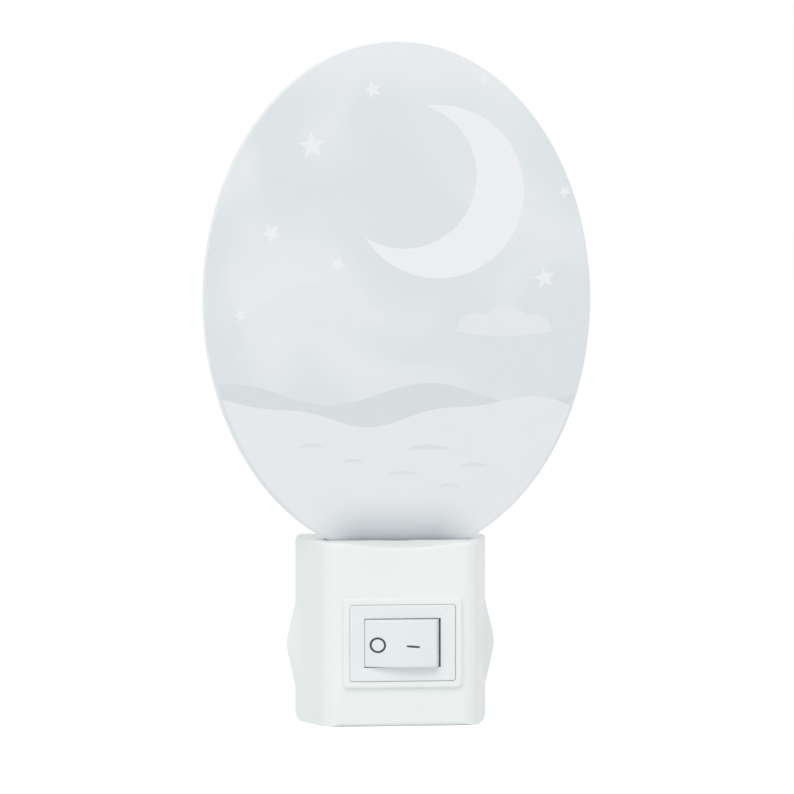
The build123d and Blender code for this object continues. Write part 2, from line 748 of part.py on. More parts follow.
with BuildPart() as rocker:
    with BuildSketch(rocker_level(-rocker_height / 2)):
        with BuildLine():
            ThreePointArc((-corner_x, corner_y), (0, crown_y), (corner_x, corner_y))
            Line((corner_x, corner_y), (tangent_x, tangent_y))
            ThreePointArc((tangent_x, tangent_y), (rocker_end_radius, 0), (skirt_x, rocker_skirt))
            Line((skirt_x, rocker_skirt), (-skirt_x, rocker_skirt))
            ThreePointArc(
                (-skirt_x, rocker_skirt), (-rocker_end_radius, 0), (-tangent_x, tangent_y)
            )
            Line((-tangent_x, tangent_y), (-corner_x, corner_y))
        make_face()
    extrude(amount=rocker_height)
    rocker_face = rocker.faces().sort_by(Axis.Y)[0]
    fillet(rocker_face.edges(), radius=rocker_edge_radius)

    # hollow underside with a stem for the plunger
    hollow_front_y = corner_y + rocker_wall
    with BuildSketch(rocker_front(rocker_skirt + overrun)):
        Rectangle(2 * (corner_x - rocker_wall), rocker_height - 2 * rocker_wall)
        Circle(stem_radius, mode=Mode.SUBTRACT)
    extrude(amount=rocker_skirt + overrun - hollow_front_y, mode=Mode.SUBTRACT)
    with BuildSketch(rocker_front(stem_length)):
        Circle(stem_radius)
    extrude(amount=stem_length - hollow_front_y)
    with BuildSketch(rocker_front(stem_length + overrun)):
        Circle(stem_bore_radius)
    extrude(amount=stem_length + overrun - stem_bore_end, mode=Mode.SUBTRACT)

    # trunnions above and below
    for side in (-1, 1):
        with BuildSketch(rocker_level(side * (rocker_height / 2 - rocker_wall))):
            Circle(trunnion_radius)
        reach = rocker_hole_height / 2 + trunnion_length - rocker_height / 2 + rocker_wall
        extrude(amount=side * reach)
rocker.part.label = "rocker"

plunger_seat = plunger_reach - plunger_length
with BuildPart() as plunger:
    with BuildSketch(rocker_front(plunger_reach)):
        Circle(plunger_radius)
    extrude(amount=plunger_length)
    fillet(plunger.edges().sort_by(Axis.Y)[-1], radius=plunger_radius * plunger_dome_share)
plunger.part.label = "plunger"

spring_start = stem_bore_end + spring_wire_radius + spring_end_gap
spring_length = plunger_seat - spring_start - spring_wire_radius - spring_end_gap
with BuildPart() as plunger_spring:
    with BuildLine():
        coil = Helix(
            spring_length / spring_turns,
            spring_length,
            spring_radius,
            center=rocker_front(spring_start).origin,
            direction=rocker_y_dir,
        )
    with BuildSketch(Plane(origin=coil @ 0, z_dir=coil % 0)):
        Circle(spring_wire_radius)
    sweep(path=coil, is_frenet=True)
plunger_spring.part.label = "plunger_spring"

# ------------------------------------------------------------------ contact lever and terminals
# With the left end of the rocker pressed the plunger holds the lever's right end back, so that the
# contact on its left end stands clear.
lever_angle = radians(lever_half_tilt)
lever_back = (-sin(lever_angle), cos(lever_angle), 0)


def lever_plane(y):
    """Plane facing the lever's front at y behind its pivot, turned with the lever."""
    origin = (lever_back[0] * y, lever_pivot_y + lever_back[1] * y, 0)
    x_dir = (cos(lever_angle), sin(lever_angle), 0)
    return Plane(origin, x_dir=x_dir, z_dir=(-lever_back[0], -lever_back[1], 0))


with BuildPart() as contact_lever:
    with BuildSketch(lever_plane(0)):
        Rectangle(lever_length, lever_width)
    extrude(amount=lever_thickness)
    with BuildSketch(lever_plane(contact_height)):
        with Locations((-contact_offset, 0)):
            Circle(contact_radius)
    extrude(amount=contact_height)
    with BuildSketch(Plane.XY):
        with Locations((0, lever_pivot_y)):
            Circle(fulcrum_radius)
    extrude(amount=lever_width / 2, both=True)
contact_lever.part.label = "contact_lever"

with BuildPart() as common_terminal:
    with BuildSketch(upright(terminal_end_y)):
        Rectangle(terminal_thickness, terminal_width)
    fulcrum_back_y = lever_pivot_y + fulcrum_radius + fulcrum_gap
    extrude(amount=terminal_end_y - fulcrum_back_y + fulcrum_seat_depth)
    with BuildSketch(Plane.XY):
        with Locations((0, lever_pivot_y)):
            Circle(fulcrum_radius + fulcrum_gap)
    extrude(amount=terminal_width, both=True, mode=Mode.SUBTRACT)
common_terminal.part.label = "common_terminal"

with BuildPart() as switched_terminal:
    with BuildSketch(upright(terminal_end_y)):
        with Locations((-contact_offset, 0)):
            Rectangle(terminal_thickness, terminal_width)
    extrude(amount=terminal_end_y - switch_floor_y)
    with BuildSketch(upright(switch_floor_y)):
        with Locations((-contact_offset, 0)):
            Rectangle(terminal_pad_width, terminal_width)
    extrude(amount=terminal_thickness)
    with BuildSketch(upright(switch_floor_y - terminal_thickness)):
        with Locations((-contact_offset, 0)):
            Circle(contact_radius)
    extrude(amount=terminal_floor_gap)
switched_terminal.part.label = "switched_terminal"

# ------------------------------------------------------------------ main board and what it carries
board_foot_rise = screw_z + screw_column_radius + board_foot_gap
board_bottom_z = bottom_inner_z + board_foot_gap
board_foot_half = screw_x - screw_column_radius - board_foot_gap

with BuildPart() as main_board:
    with BuildSketch(upright(board_back_y)):
        with Locations((0, board_foot_rise)):
            Rectangle(
                2 * board_half_width, board_rise - board_foot_rise, align=(Align.CENTER, Align.MIN)
            )
        with Locations((0, board_bottom_z)):
            Rectangle(
                2 * board_foot_half, board_rise - board_bottom_z, align=(Align.CENTER, Align.MIN)
            )
        Rectangle(board_window_width, board_window_height, mode=Mode.SUBTRACT)
        with Locations(standoff_places):
            Circle(standoff_peg_radius + standoff_peg_fit, mode=Mode.SUBTRACT)
    extrude(amount=board_thickness)
main_board.part.label = "main_board"

with BuildPart() as dropper_capacitor:
    with BuildSketch(upright(board_front_y)):
        with Locations((0, dropper_top_z - dropper_height / 2)):
            RectangleRounded(dropper_width, dropper_height, dropper_corner_radius)
    extrude(amount=dropper_depth)
dropper_capacitor.part.label = "dropper_capacitor"

smoother_end_y = board_front_y - smoother_length
side_part_limit = min(side_at(smoother_end_y) - wall, base_width / 2 - lip_inset)
side_part_width = side_part_limit - part_side_gap - side_part_x

with BuildPart() as smoothing_capacitor:
    with BuildSketch(upright(board_front_y)):
        with Locations((side_part_x + side_part_width / 2, 0)):
            Circle(side_part_width / 2)
    extrude(amount=smoother_length)
    fillet(smoothing_capacitor.edges().sort_by(Axis.Y)[0], radius=smoother_edge_radius)
smoothing_capacitor.part.label = "smoothing_capacitor"

with BuildPart() as bridge_rectifier:
    with BuildSketch(upright(board_front_y)):
        with Locations((-side_part_x - side_part_width / 2, 0)):
            Rectangle(side_part_width, rectifier_height)
    extrude(amount=rectifier_depth)
    chamfer(bridge_rectifier.faces().sort_by(Axis.Y)[0].edges(), length=rectifier_chamfer)
bridge_rectifier.part.label = "bridge_rectifier"

resistor_z = board_rise - resistor_radius - resistor_lift
resistor_y = board_front_y - resistor_radius - resistor_lift


def resistor_run(x):
    """Lead path of one resistor centred on x, from the board along the front and back again."""
    end = resistor_length / 2 + resistor_lead_reach
    with BuildLine() as path:
        FilletPolyline(
            (x - end, board_front_y, resistor_z),
            (x - end, resistor_y, resistor_z),
            (x + end, resistor_y, resistor_z),
            (x + end, board_front_y, resistor_z),
            radius=resistor_lead_bend,
        )
    return path.line


with BuildPart() as fusible_resistor:
    with BuildSketch(Plane.YZ.offset(-resistor_offset - resistor_length / 2)):
        with Locations((resistor_y, resistor_z)):
            Circle(resistor_radius)
    extrude(amount=resistor_length)
    fillet(fusible_resistor.edges().filter_by(GeomType.CIRCLE), radius=resistor_edge_radius)
    lead = resistor_run(-resistor_offset)
    with BuildSketch(Plane(origin=lead @ 0, z_dir=lead % 0)):
        Circle(resistor_lead_radius)
    sweep(path=lead)
fusible_resistor.part.label = "fusible_resistor"

with BuildPart() as discharge_resistor:
    with BuildSketch(Plane.YZ.offset(resistor_offset - resistor_length / 2)):
        with Locations((resistor_y, resistor_z)):
            Circle(resistor_radius)
    extrude(amount=resistor_length)
    fillet(discharge_resistor.edges().filter_by(GeomType.CIRCLE), radius=resistor_edge_radius)
    lead = resistor_run(resistor_offset)
    with BuildSketch(Plane(origin=lead @ 0, z_dir=lead % 0)):
        Circle(resistor_lead_radius)
    sweep(path=lead)
discharge_resistor.part.label = "discharge_resistor"

with BuildPart() as lamp_links:
    with BuildSketch(upright(board_front_y)):
        with Locations((0, lamp_board_z + lamp_board_thickness / 2)):
            with GridLocations(link_spacing, 0, 2, 1):
                Circle(link_radius)
    extrude(amount=board_front_y - panel_mid_y - lamp_board_width / 2)
lamp_links.part.label = "lamp_links"

# ------------------------------------------------------------------ wires
live_turn = atan2(pin_spacing / 2, -pin_inner_length - wire_straight - live_wire_end_y)
with BuildPart() as live_wire:
    with BuildLine():
        live_route = FilletPolyline(
            (-pin_spacing / 2, -pin_inner_length, 0),
            (-pin_spacing / 2, -pin_inner_length - wire_straight, 0),
            (0, live_wire_end_y, 0),
            (0, terminal_end_y, 0),
            radius=wire_bend_share * wire_straight / tan(live_turn / 2),
        )
    with BuildSketch(Plane(origin=live_route @ 0, z_dir=live_route % 0)):
        Circle(wire_radius)
    sweep(path=live_route)
live_wire.part.label = "live_wire"

with BuildPart() as neutral_wire:
    with BuildSketch(upright(-pin_inner_length)):
        with Locations((pin_spacing / 2, 0)):
            Circle(wire_radius)
    extrude(amount=-pin_inner_length - board_back_y)
neutral_wire.part.label = "neutral_wire"

with BuildPart() as switched_wire:
    with BuildSketch(upright(board_front_y)):
        with Locations((-contact_offset, 0)):
            Circle(wire_radius)
    extrude(amount=board_front_y - terminal_end_y)
switched_wire.part.label = "switched_wire"

# ------------------------------------------------------------------ housing screws
with BuildPart() as housing_screws:
    with BuildSketch(upright(screw_seat_y)):
        with Locations(screw_places):
            Circle(screw_head_radius)
    extrude(amount=-screw_head_height)
    head_rims = housing_screws.edges().group_by(Axis.Y)[-1]
    fillet(head_rims, radius=screw_head_edge_radius)
    with BuildSketch(upright(screw_seat_y)):
        with Locations(screw_places):
            Circle(screw_radius)
    extrude(amount=screw_length)
    with BuildSketch(upright(screw_seat_y + screw_head_height - screw_slot_depth)):
        with Locations(screw_places):
            Rectangle(2 * screw_head_radius, screw_slot_width)
            Rectangle(screw_slot_width, 2 * screw_head_radius)
    extrude(amount=-(screw_slot_depth + overrun), mode=Mode.SUBTRACT)
housing_screws.part.label = "housing_screws"

# ------------------------------------------------------------------ export
pieces = [
    front_shell,
    rear_cover,
    line_pin,
    neutral_pin,
    pin_sleeves,
    light_panel,
    picture_film,
    back_film,
    panel_holder,
    panel_pegs,
    lamp_board,
    lamps,
    switch_body,
    rocker,
    plunger,
    plunger_spring,
    contact_lever,
    common_terminal,
    switched_terminal,
    main_board,
    dropper_capacitor,
    smoothing_capacitor,
    bridge_rectifier,
    fusible_resistor,
    discharge_resistor,
    lamp_links,
    live_wire,
    neutral_wire,
    switched_wire,
    housing_screws,
]
os.makedirs("parts", exist_ok=True)
for piece in pieces:
    export_step(piece.part, f"parts/{piece.part.label}.step")
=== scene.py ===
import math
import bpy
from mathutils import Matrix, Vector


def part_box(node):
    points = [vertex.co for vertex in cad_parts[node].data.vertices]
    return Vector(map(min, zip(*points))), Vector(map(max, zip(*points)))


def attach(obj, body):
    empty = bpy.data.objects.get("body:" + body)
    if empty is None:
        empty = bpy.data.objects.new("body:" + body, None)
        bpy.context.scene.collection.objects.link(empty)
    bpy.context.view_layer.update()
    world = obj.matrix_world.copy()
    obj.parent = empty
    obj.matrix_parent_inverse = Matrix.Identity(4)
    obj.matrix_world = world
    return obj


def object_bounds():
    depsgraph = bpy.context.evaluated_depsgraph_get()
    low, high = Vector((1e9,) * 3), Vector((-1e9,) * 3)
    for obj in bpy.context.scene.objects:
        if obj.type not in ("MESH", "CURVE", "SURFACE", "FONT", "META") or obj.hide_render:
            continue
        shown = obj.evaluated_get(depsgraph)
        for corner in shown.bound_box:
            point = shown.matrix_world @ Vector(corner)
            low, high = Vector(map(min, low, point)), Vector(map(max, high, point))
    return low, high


bl_info = {
    "name": "Plug-in night light",
    "version": (1, 0, 0),
    "blender": (4, 5, 0),
    "location": "3D View > Sidebar > Night Light",
    "description": "Finishes, panel print and stage for a plug-in night light with an oval panel",
    "category": "Object",
}

import bmesh
import bpy
from bpy.props import FloatProperty, FloatVectorProperty, PointerProperty
from mathutils import Vector

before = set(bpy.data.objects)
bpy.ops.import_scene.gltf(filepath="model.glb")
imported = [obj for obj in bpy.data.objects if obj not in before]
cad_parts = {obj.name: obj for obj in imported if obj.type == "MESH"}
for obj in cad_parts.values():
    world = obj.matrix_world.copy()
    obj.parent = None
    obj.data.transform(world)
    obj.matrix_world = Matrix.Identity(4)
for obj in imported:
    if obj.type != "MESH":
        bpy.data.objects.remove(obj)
cad_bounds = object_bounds()

MM = 0.001
BANDS = 6.3  # light and dark bands of a wave texture in each unit of its scale
BASE_LOW, BASE_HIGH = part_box("front_shell")
FILM_LOW, FILM_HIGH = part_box("picture_film")
FILM_MIDDLE = (FILM_LOW + FILM_HIGH) / 2
FILM_HALF_WIDTH = (FILM_HIGH.x - FILM_LOW.x) / 2
FILM_HALF_HEIGHT = (FILM_HIGH.z - FILM_LOW.z) / 2


def hex_colour(code):
    """Linear colour with alpha for an sRGB hex code such as #ECF1EF."""
    parts = [int(code[i : i + 2], 16) / 255 for i in (1, 3, 5)]
    linear = [p / 12.92 if p <= 0.04045 else ((p + 0.055) / 1.055) ** 2.4 for p in parts]
    return (*linear, 1.0)


# ---------------------------------------------------------------------------- settings
class NightLightFinish(bpy.types.PropertyGroup):
    """Colours and grain of the mouldings, and the marks on the rocker."""

    housing: FloatVectorProperty(
        name="Housing", description="Moulded housing", subtype="COLOR", size=4, min=0, max=1,
        default=hex_colour("#F2F6F5"),
    )
    switch: FloatVectorProperty(
        name="Switch", description="Frame of the switch", subtype="COLOR", size=4, min=0,
        max=1, default=hex_colour("#EFF3F3"),
    )
    # Painted shade: the switch's colour a shade greyer, for the tilted rocker's shading.
    rocker: FloatVectorProperty(
        name="Rocker", description="Rocker of the switch", subtype="COLOR", size=4, min=0,
        max=1, default=hex_colour("#EBF0F0"),
    )
    marks: FloatVectorProperty(
        name="Marks", description="Ring and bar on the rocker", subtype="COLOR", size=4, min=0,
        max=1, default=hex_colour("#3A4A4C"),
    )
    grain: FloatProperty(
        name="Mould grain", description="Spacing of the mould's spark eroded grain",
        subtype="DISTANCE", unit="LENGTH", default=0.35 * MM, min=0.05 * MM,
    )
    ring_diameter: FloatProperty(
        name="Ring diameter", description="Outer diameter of the ring on the rocker",
        subtype="DISTANCE", unit="LENGTH", default=3.1 * MM, min=1 * MM,
    )
    bar_length: FloatProperty(
        name="Bar length", description="Length of the bar on the rocker",
        subtype="DISTANCE", unit="LENGTH", default=2.6 * MM, min=0.8 * MM,
    )
    mark_stroke: FloatProperty(
        name="Mark stroke", description="Line width of the ring and the bar",
        subtype="DISTANCE", unit="LENGTH", default=0.42 * MM, min=0.1 * MM,
    )


class NightLightPrint(bpy.types.PropertyGroup):
    """The night sea picture printed on the light panel's film."""

    sky: FloatVectorProperty(
        name="Sky", description="Ground colour of the film", subtype="COLOR", size=4, min=0,
        max=1, default=hex_colour("#DFE4E7"),
    )
    # Also the colour of the painted highlight that lightens the film's top.
    haze_and_top_light: FloatVectorProperty(
        name="Haze", description="Lighter haze in the ground", subtype="COLOR", size=4, min=0,
        max=1, default=hex_colour("#E9ECEE"),
    )
    # Painted shade: the darker film colour beside the housing's slot, where the slot shades the
    # panel, with a darker contact line where they meet.
    foot: FloatVectorProperty(
        name="Foot", description="Film next to the housing", subtype="COLOR", size=4, min=0,
        max=1, default=hex_colour("#A9B1B6"),
    )
    moon: FloatVectorProperty(
        name="Moon", description="Moon and stars", subtype="COLOR", size=4, min=0, max=1,
        default=hex_colour("#F0F1F3"),
    )
    cloud: FloatVectorProperty(
        name="Clouds", description="Low clouds", subtype="COLOR", size=4, min=0, max=1,
        default=hex_colour("#E8EBED"),
    )
    far_wave: FloatVectorProperty(
        name="Far wave", description="Wave behind", subtype="COLOR", size=4, min=0, max=1,
        default=hex_colour("#DADFE2"),
    )
    near_wave: FloatVectorProperty(
        name="Near wave", description="Wave in front", subtype="COLOR", size=4, min=0, max=1,
        default=hex_colour("#E9ECEE"),
    )
    moon_radius: FloatProperty(
        name="Moon radius", description="Outer radius of the crescent", subtype="DISTANCE",
        unit="LENGTH", default=17 * MM, min=2 * MM,
    )
    waterline: FloatProperty(
        name="Waterline", description="Mean height of the near wave above the plug's axis",
        subtype="DISTANCE", unit="LENGTH", default=45 * MM,
    )
    ink: FloatProperty(
        name="Ink", description="Thickness of one printed layer", subtype="DISTANCE",
        unit="LENGTH", default=0.03 * MM, min=0.01 * MM,
    )


class NightLightStage(bpy.types.PropertyGroup):
    """Camera, light and floor."""

    azimuth: FloatProperty(
        name="Azimuth", description="Camera's turn round the object from straight in front",
        subtype="ANGLE", unit="ROTATION", default=math.radians(-8),
    )
    elevation: FloatProperty(
        name="Elevation", description="Camera's height angle", subtype="ANGLE",
        unit="ROTATION", default=math.radians(2.8),
    )
    distance: FloatProperty(
        name="Distance", description="Camera to the point that it looks at",
        subtype="DISTANCE", unit="LENGTH", default=1.5, min=0.3,
    )
    lens: FloatProperty(
        name="Lens", description="Focal length", unit="CAMERA", default=347, min=20
    )
    target: FloatVectorProperty(
        name="Target", description="Point that the camera looks at", subtype="XYZ",
        unit="LENGTH", default=(-0.17 * MM, -34 * MM, 47.8 * MM),
    )
    sky_light: FloatProperty(
        name="Even light", description="Strength of the light from all round", default=0.72,
        min=0,
    )
    softbox: FloatProperty(
        name="Softbox", description="Power of the large lamp", unit="POWER", default=5.8, min=0
    )
    floor: FloatVectorProperty(
        name="Floor", description="Floor colour", subtype="COLOR", size=4, min=0, max=1,
        default=hex_colour("#F2F4F4"),
    )


# ---------------------------------------------------------------------------- nodes
def add_node(tree, kind, inputs=None, **settings):
    """Adds a node with its own settings, and its inputs as values or links."""
    node = tree.nodes.new(kind)
    for key, value in settings.items():
        setattr(node, key, value)
    for key, value in (inputs or {}).items():
        if isinstance(value, bpy.types.NodeSocket):
            tree.links.new(value, node.inputs[key])
        else:
            node.inputs[key].default_value = value
    return node


def start_finish(name):
    """New finish: its material, node tree and the object's own coordinates in metres."""
    finish = bpy.data.materials.new(name)
    finish.use_nodes = True
    finish.node_tree.nodes.clear()
    place = add_node(finish.node_tree, "ShaderNodeTexCoord").outputs["Object"]
    return finish, finish.node_tree, place


def per_mm(spacing):
    """Texture scale that repeats about every so many millimetres."""
    return 1 / (spacing * MM)


def shade(colour, share):
    """The colour times a share, as opaque."""
    return (*[c * share for c in colour[:3]], 1.0)


def dress(finish, *nodes):
    """Gives CAD pieces their finish."""
    for name in nodes:
        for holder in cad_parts[name].material_slots:
            holder.material = finish


# ---------------------------------------------------------------------------- finishes
def moulded_plastic(name, colour, grain, depth, gloss, ior=1.53):
    # A moulded plastic skin: even colour with slow flow marks of about 14 mm, a grain of the
    # mould's own finish, and gloss that changes a little along the flow.
    finish, tree, place = start_finish(name)
    flow = add_node(
        tree, "ShaderNodeTexNoise", {"Vector": place, "Scale": per_mm(14), "Detail": 2.0}
    )
    fine = add_node(
        tree, "ShaderNodeTexNoise", {"Vector": place, "Scale": 1 / grain, "Detail": 3.0}
    )
    tint = add_node(tree, "ShaderNodeValToRGB", {"Fac": flow.outputs["Fac"]})
    tint.color_ramp.elements[0].position = 0.3
    tint.color_ramp.elements[0].color = shade(colour, 0.985)
    tint.color_ramp.elements[1].position = 0.7
    tint.color_ramp.elements[1].color = shade(colour, 1)
    sheen = add_node(
        tree, "ShaderNodeMapRange",
        {"Value": flow.outputs["Fac"], "To Min": gloss - 0.04, "To Max": gloss + 0.05},
    )
    bump = add_node(
        tree, "ShaderNodeBump",
        {"Height": fine.outputs["Fac"], "Strength": 0.3, "Distance": depth},
    )
    surface = add_node(
        tree, "ShaderNodeBsdfPrincipled",
        {
            "Base Color": tint.outputs["Color"], "Roughness": sheen.outputs["Result"],
            "Normal": bump.outputs["Normal"], "IOR": ior,
        },
    )
    add_node(tree, "ShaderNodeOutputMaterial", {"Surface": surface.outputs["BSDF"]})
    return finish


def worked_metal(name, colour, roughness, spacing, direction, patina=0.9):
    # Bare or plated metal with the fine parallel lines of its turning, drawing or rolling, real
    # lines of a few hundredths drawn wider so that they show, and duller patches of handling.
    finish, tree, place = start_finish(name)
    lines = add_node(
        tree, "ShaderNodeTexWave",
        {"Vector": place, "Scale": per_mm(spacing) / BANDS, "Distortion": 1.5, "Detail": 2.0},
        bands_direction=direction,
    )
    patches = add_node(
        tree, "ShaderNodeTexNoise", {"Vector": place, "Scale": per_mm(3), "Detail": 4.0}
    )
    tint = add_node(tree, "ShaderNodeValToRGB", {"Fac": patches.outputs["Fac"]})
    tint.color_ramp.elements[0].position = 0.25
    tint.color_ramp.elements[0].color = shade(colour, patina)
    tint.color_ramp.elements[1].position = 0.65
    tint.color_ramp.elements[1].color = shade(colour, 1)
    dull = add_node(
        tree, "ShaderNodeMapRange",
        {"Value": patches.outputs["Fac"], "To Min": roughness + 0.1, "To Max": roughness - 0.04},
    )
    bump = add_node(
        tree, "ShaderNodeBump",
        {"Height": lines.outputs["Fac"], "Strength": 0.15, "Distance": 0.004 * MM},
    )
    surface = add_node(
        tree, "ShaderNodeBsdfPrincipled",
        {
            "Base Color": tint.outputs["Color"], "Metallic": 1.0,
            "Roughness": dull.outputs["Result"], "Normal": bump.outputs["Normal"],
        },
    )
    add_node(tree, "ShaderNodeOutputMaterial", {"Surface": surface.outputs["BSDF"]})
    return finish


def cast_acrylic():
    # Cast acrylic sheet with a milled rim: the cutter's fine marks leave the rim frosted, so that
    # it shows as a pale, slightly translucent line. The real marks of 0.1 mm are drawn at 0.5 mm.
    finish, tree, place = start_finish("cast_acrylic_milled_rim")
    marks = add_node(
        tree, "ShaderNodeTexNoise", {"Vector": place, "Scale": per_mm(0.5), "Detail": 3.0}
    )
    tint = add_node(tree, "ShaderNodeValToRGB", {"Fac": marks.outputs["Fac"]})
    tint.color_ramp.elements[0].color = hex_colour("#F6F9FA")
    tint.color_ramp.elements[1].color = hex_colour("#FCFDFD")
    bump = add_node(
        tree, "ShaderNodeBump",
        {"Height": marks.outputs["Fac"], "Strength": 0.2, "Distance": 0.02 * MM},
    )
    surface = add_node(
        tree, "ShaderNodeBsdfPrincipled",
        {
            "Base Color": tint.outputs["Color"], "Roughness": 0.35,
            "Normal": bump.outputs["Normal"], "IOR": 1.49, "Transmission Weight": 0.05,
        },
    )
    add_node(tree, "ShaderNodeOutputMaterial", {"Surface": surface.outputs["BSDF"]})
    return finish


def near_slot(tree, place, half_width, reach):
    """Share of the slot's shadow on the film: full at its middle, none at its ends and above."""
    sunk, end_fade, steepness = 0.3 * MM, 12 * MM, 2.2
    parts = add_node(tree, "ShaderNodeSeparateXYZ", {"Vector": place})
    height = add_node(
        tree, "ShaderNodeMapRange",
        {
            "Value": parts.outputs["Z"], "From Min": BASE_HIGH.z - sunk,
            "From Max": BASE_HIGH.z + reach, "To Min": 1.0, "To Max": 0.0,
        },
    )
    fall = add_node(
        tree, "ShaderNodeMath", {0: height.outputs["Result"], 1: steepness}, operation="POWER"
    )
    aside = add_node(tree, "ShaderNodeMath", {0: parts.outputs["X"]}, operation="ABSOLUTE")
    middle = add_node(
        tree, "ShaderNodeMapRange",
        {
            "Value": aside.outputs["Value"], "From Min": half_width - end_fade,
            "From Max": half_width, "To Min": 1.0, "To Max": 0.0,
        },
        interpolation_type="SMOOTHSTEP",
    )
    share = add_node(
        tree, "ShaderNodeMath", {0: fall.outputs["Value"], 1: middle.outputs["Result"]},
        operation="MULTIPLY",
    )
    return share.outputs["Value"]


def paint_slot_shade(tree, place, colour, foot):
    """Painted shade: the colour darkened softly above the slot, and a darker painted contact shadow
    in a thin line where it meets it.
    """
    soft_shade_share = near_slot(tree, place, half_width=18.5 * MM, reach=10.5 * MM)
    soft = add_node(tree, "ShaderNodeMix", {0: soft_shade_share, 6: colour, 7: foot}, data_type="RGBA")
    contact = near_slot(tree, place, half_width=17.5 * MM, reach=1 * MM)
    line = add_node(
        tree, "ShaderNodeMix", {0: contact, 6: soft.outputs[2], 7: shade(foot, 0.75)},
        data_type="RGBA",
    )
    return line.outputs[2]


def printed_film(sky, haze_and_top_light, foot):
    # Screen printed polyester film: matt and cool pale grey, with soft lighter clouds in the
    # ground. A painted highlight lightens its top, and painted shade darkens it beside the
    # housing's slot, where the slot shades the panel. The dots of the print screen, really 0.15 mm
    # apart, are drawn at 0.6 mm.
    finish, tree, place = start_finish("screen_printed_film")
    lighter_from, lightest_from = FILM_HIGH.z - 13 * MM, FILM_HIGH.z - 2 * MM
    clouds = add_node(
        tree, "ShaderNodeTexNoise",
        {"Vector": place, "Scale": per_mm(34), "Detail": 2.5, "Roughness": 0.45,
         "Distortion": 0.6},
    )
    ground = add_node(tree, "ShaderNodeValToRGB", {"Fac": clouds.outputs["Fac"]})
    ground.color_ramp.interpolation = "EASE"
    ground.color_ramp.elements[0].position = 0.42
    ground.color_ramp.elements[0].color = sky
    ground.color_ramp.elements[1].position = 0.66
    ground.color_ramp.elements[1].color = haze_and_top_light
    parts = add_node(tree, "ShaderNodeSeparateXYZ", {"Vector": place})
    # Painted highlight: the film turns to the haze colour towards its top.
    near_top = add_node(
        tree, "ShaderNodeMapRange",
        {"Value": parts.outputs["Z"], "From Min": lighter_from, "From Max": lightest_from},
        interpolation_type="SMOOTHSTEP",
    )
    painted_top_light = add_node(
        tree, "ShaderNodeMix",
        {0: near_top.outputs["Result"], 6: ground.outputs["Color"], 7: haze_and_top_light},
        data_type="RGBA",
    )
    dots = add_node(
        tree, "ShaderNodeTexVoronoi", {"Vector": place, "Scale": per_mm(0.6), "Randomness": 0.1}
    )
    bump = add_node(
        tree, "ShaderNodeBump",
        {"Height": dots.outputs["Distance"], "Strength": 0.1, "Distance": 0.01 * MM},
    )
    surface = add_node(
        tree, "ShaderNodeBsdfPrincipled",
        {
            "Base Color": paint_slot_shade(tree, place, painted_top_light.outputs[2], foot), "Roughness": 0.55,
            "Normal": bump.outputs["Normal"], "IOR": 1.5,
        },
    )
    add_node(tree, "ShaderNodeOutputMaterial", {"Surface": surface.outputs["BSDF"]})
    return finish


def matt_ink(name, colour, foot=None):
    # Matt printing ink: opaque, slightly uneven where the screen or the pad laid it down, with a
    # soft orange peel. Real marks of 0.15 mm are drawn at 0.7 mm.
    finish, tree, place = start_finish(name)
    lay = add_node(
        tree, "ShaderNodeTexNoise", {"Vector": place, "Scale": per_mm(5), "Detail": 3.0}
    )
    tint = add_node(tree, "ShaderNodeValToRGB", {"Fac": lay.outputs["Fac"]})
    tint.color_ramp.elements[0].position = 0.3
    tint.color_ramp.elements[0].color = shade(colour, 0.985)
    tint.color_ramp.elements[1].position = 0.7
    tint.color_ramp.elements[1].color = shade(colour, 1)
    shown = tint.outputs["Color"]
    # Given a foot colour, painted shade darkens the ink beside the housing's slot.
    if foot:
        shown = paint_slot_shade(tree, place, shown, foot)
    peel = add_node(
        tree, "ShaderNodeTexNoise", {"Vector": place, "Scale": per_mm(0.7), "Detail": 2.0}
    )
    bump = add_node(
        tree, "ShaderNodeBump",
        {"Height": peel.outputs["Fac"], "Strength": 0.15, "Distance": 0.01 * MM},
    )
    surface = add_node(
        tree, "ShaderNodeBsdfPrincipled",
        {
            "Base Color": shown, "Roughness": 0.5, "Normal": bump.outputs["Normal"], "IOR": 1.5
        },
    )
    add_node(tree, "ShaderNodeOutputMaterial", {"Surface": surface.outputs["BSDF"]})
    return finish


def reflector_film():
    # White voided polyester film behind the panel: pearly, almost shadowless white with a faint
    # mottle.
    finish, tree, place = start_finish("white_reflector_film")
    mottle = add_node(
        tree, "ShaderNodeTexNoise", {"Vector": place, "Scale": per_mm(1.2), "Detail": 4.0}
    )
    tint = add_node(tree, "ShaderNodeValToRGB", {"Fac": mottle.outputs["Fac"]})
    tint.color_ramp.elements[0].color = hex_colour("#EDF0F1")
    tint.color_ramp.elements[1].color = hex_colour("#F6F7F8")
    gloss = add_node(
        tree, "ShaderNodeMapRange", {"Value": mottle.outputs["Fac"], "To Min": 0.4, "To Max": 0.5}
    )
    surface = add_node(
        tree, "ShaderNodeBsdfPrincipled",
        {
            "Base Color": tint.outputs["Color"], "Roughness": gloss.outputs["Result"],
            "IOR": 1.6,
        },
    )
    add_node(tree, "ShaderNodeOutputMaterial", {"Surface": surface.outputs["BSDF"]})
    return finish


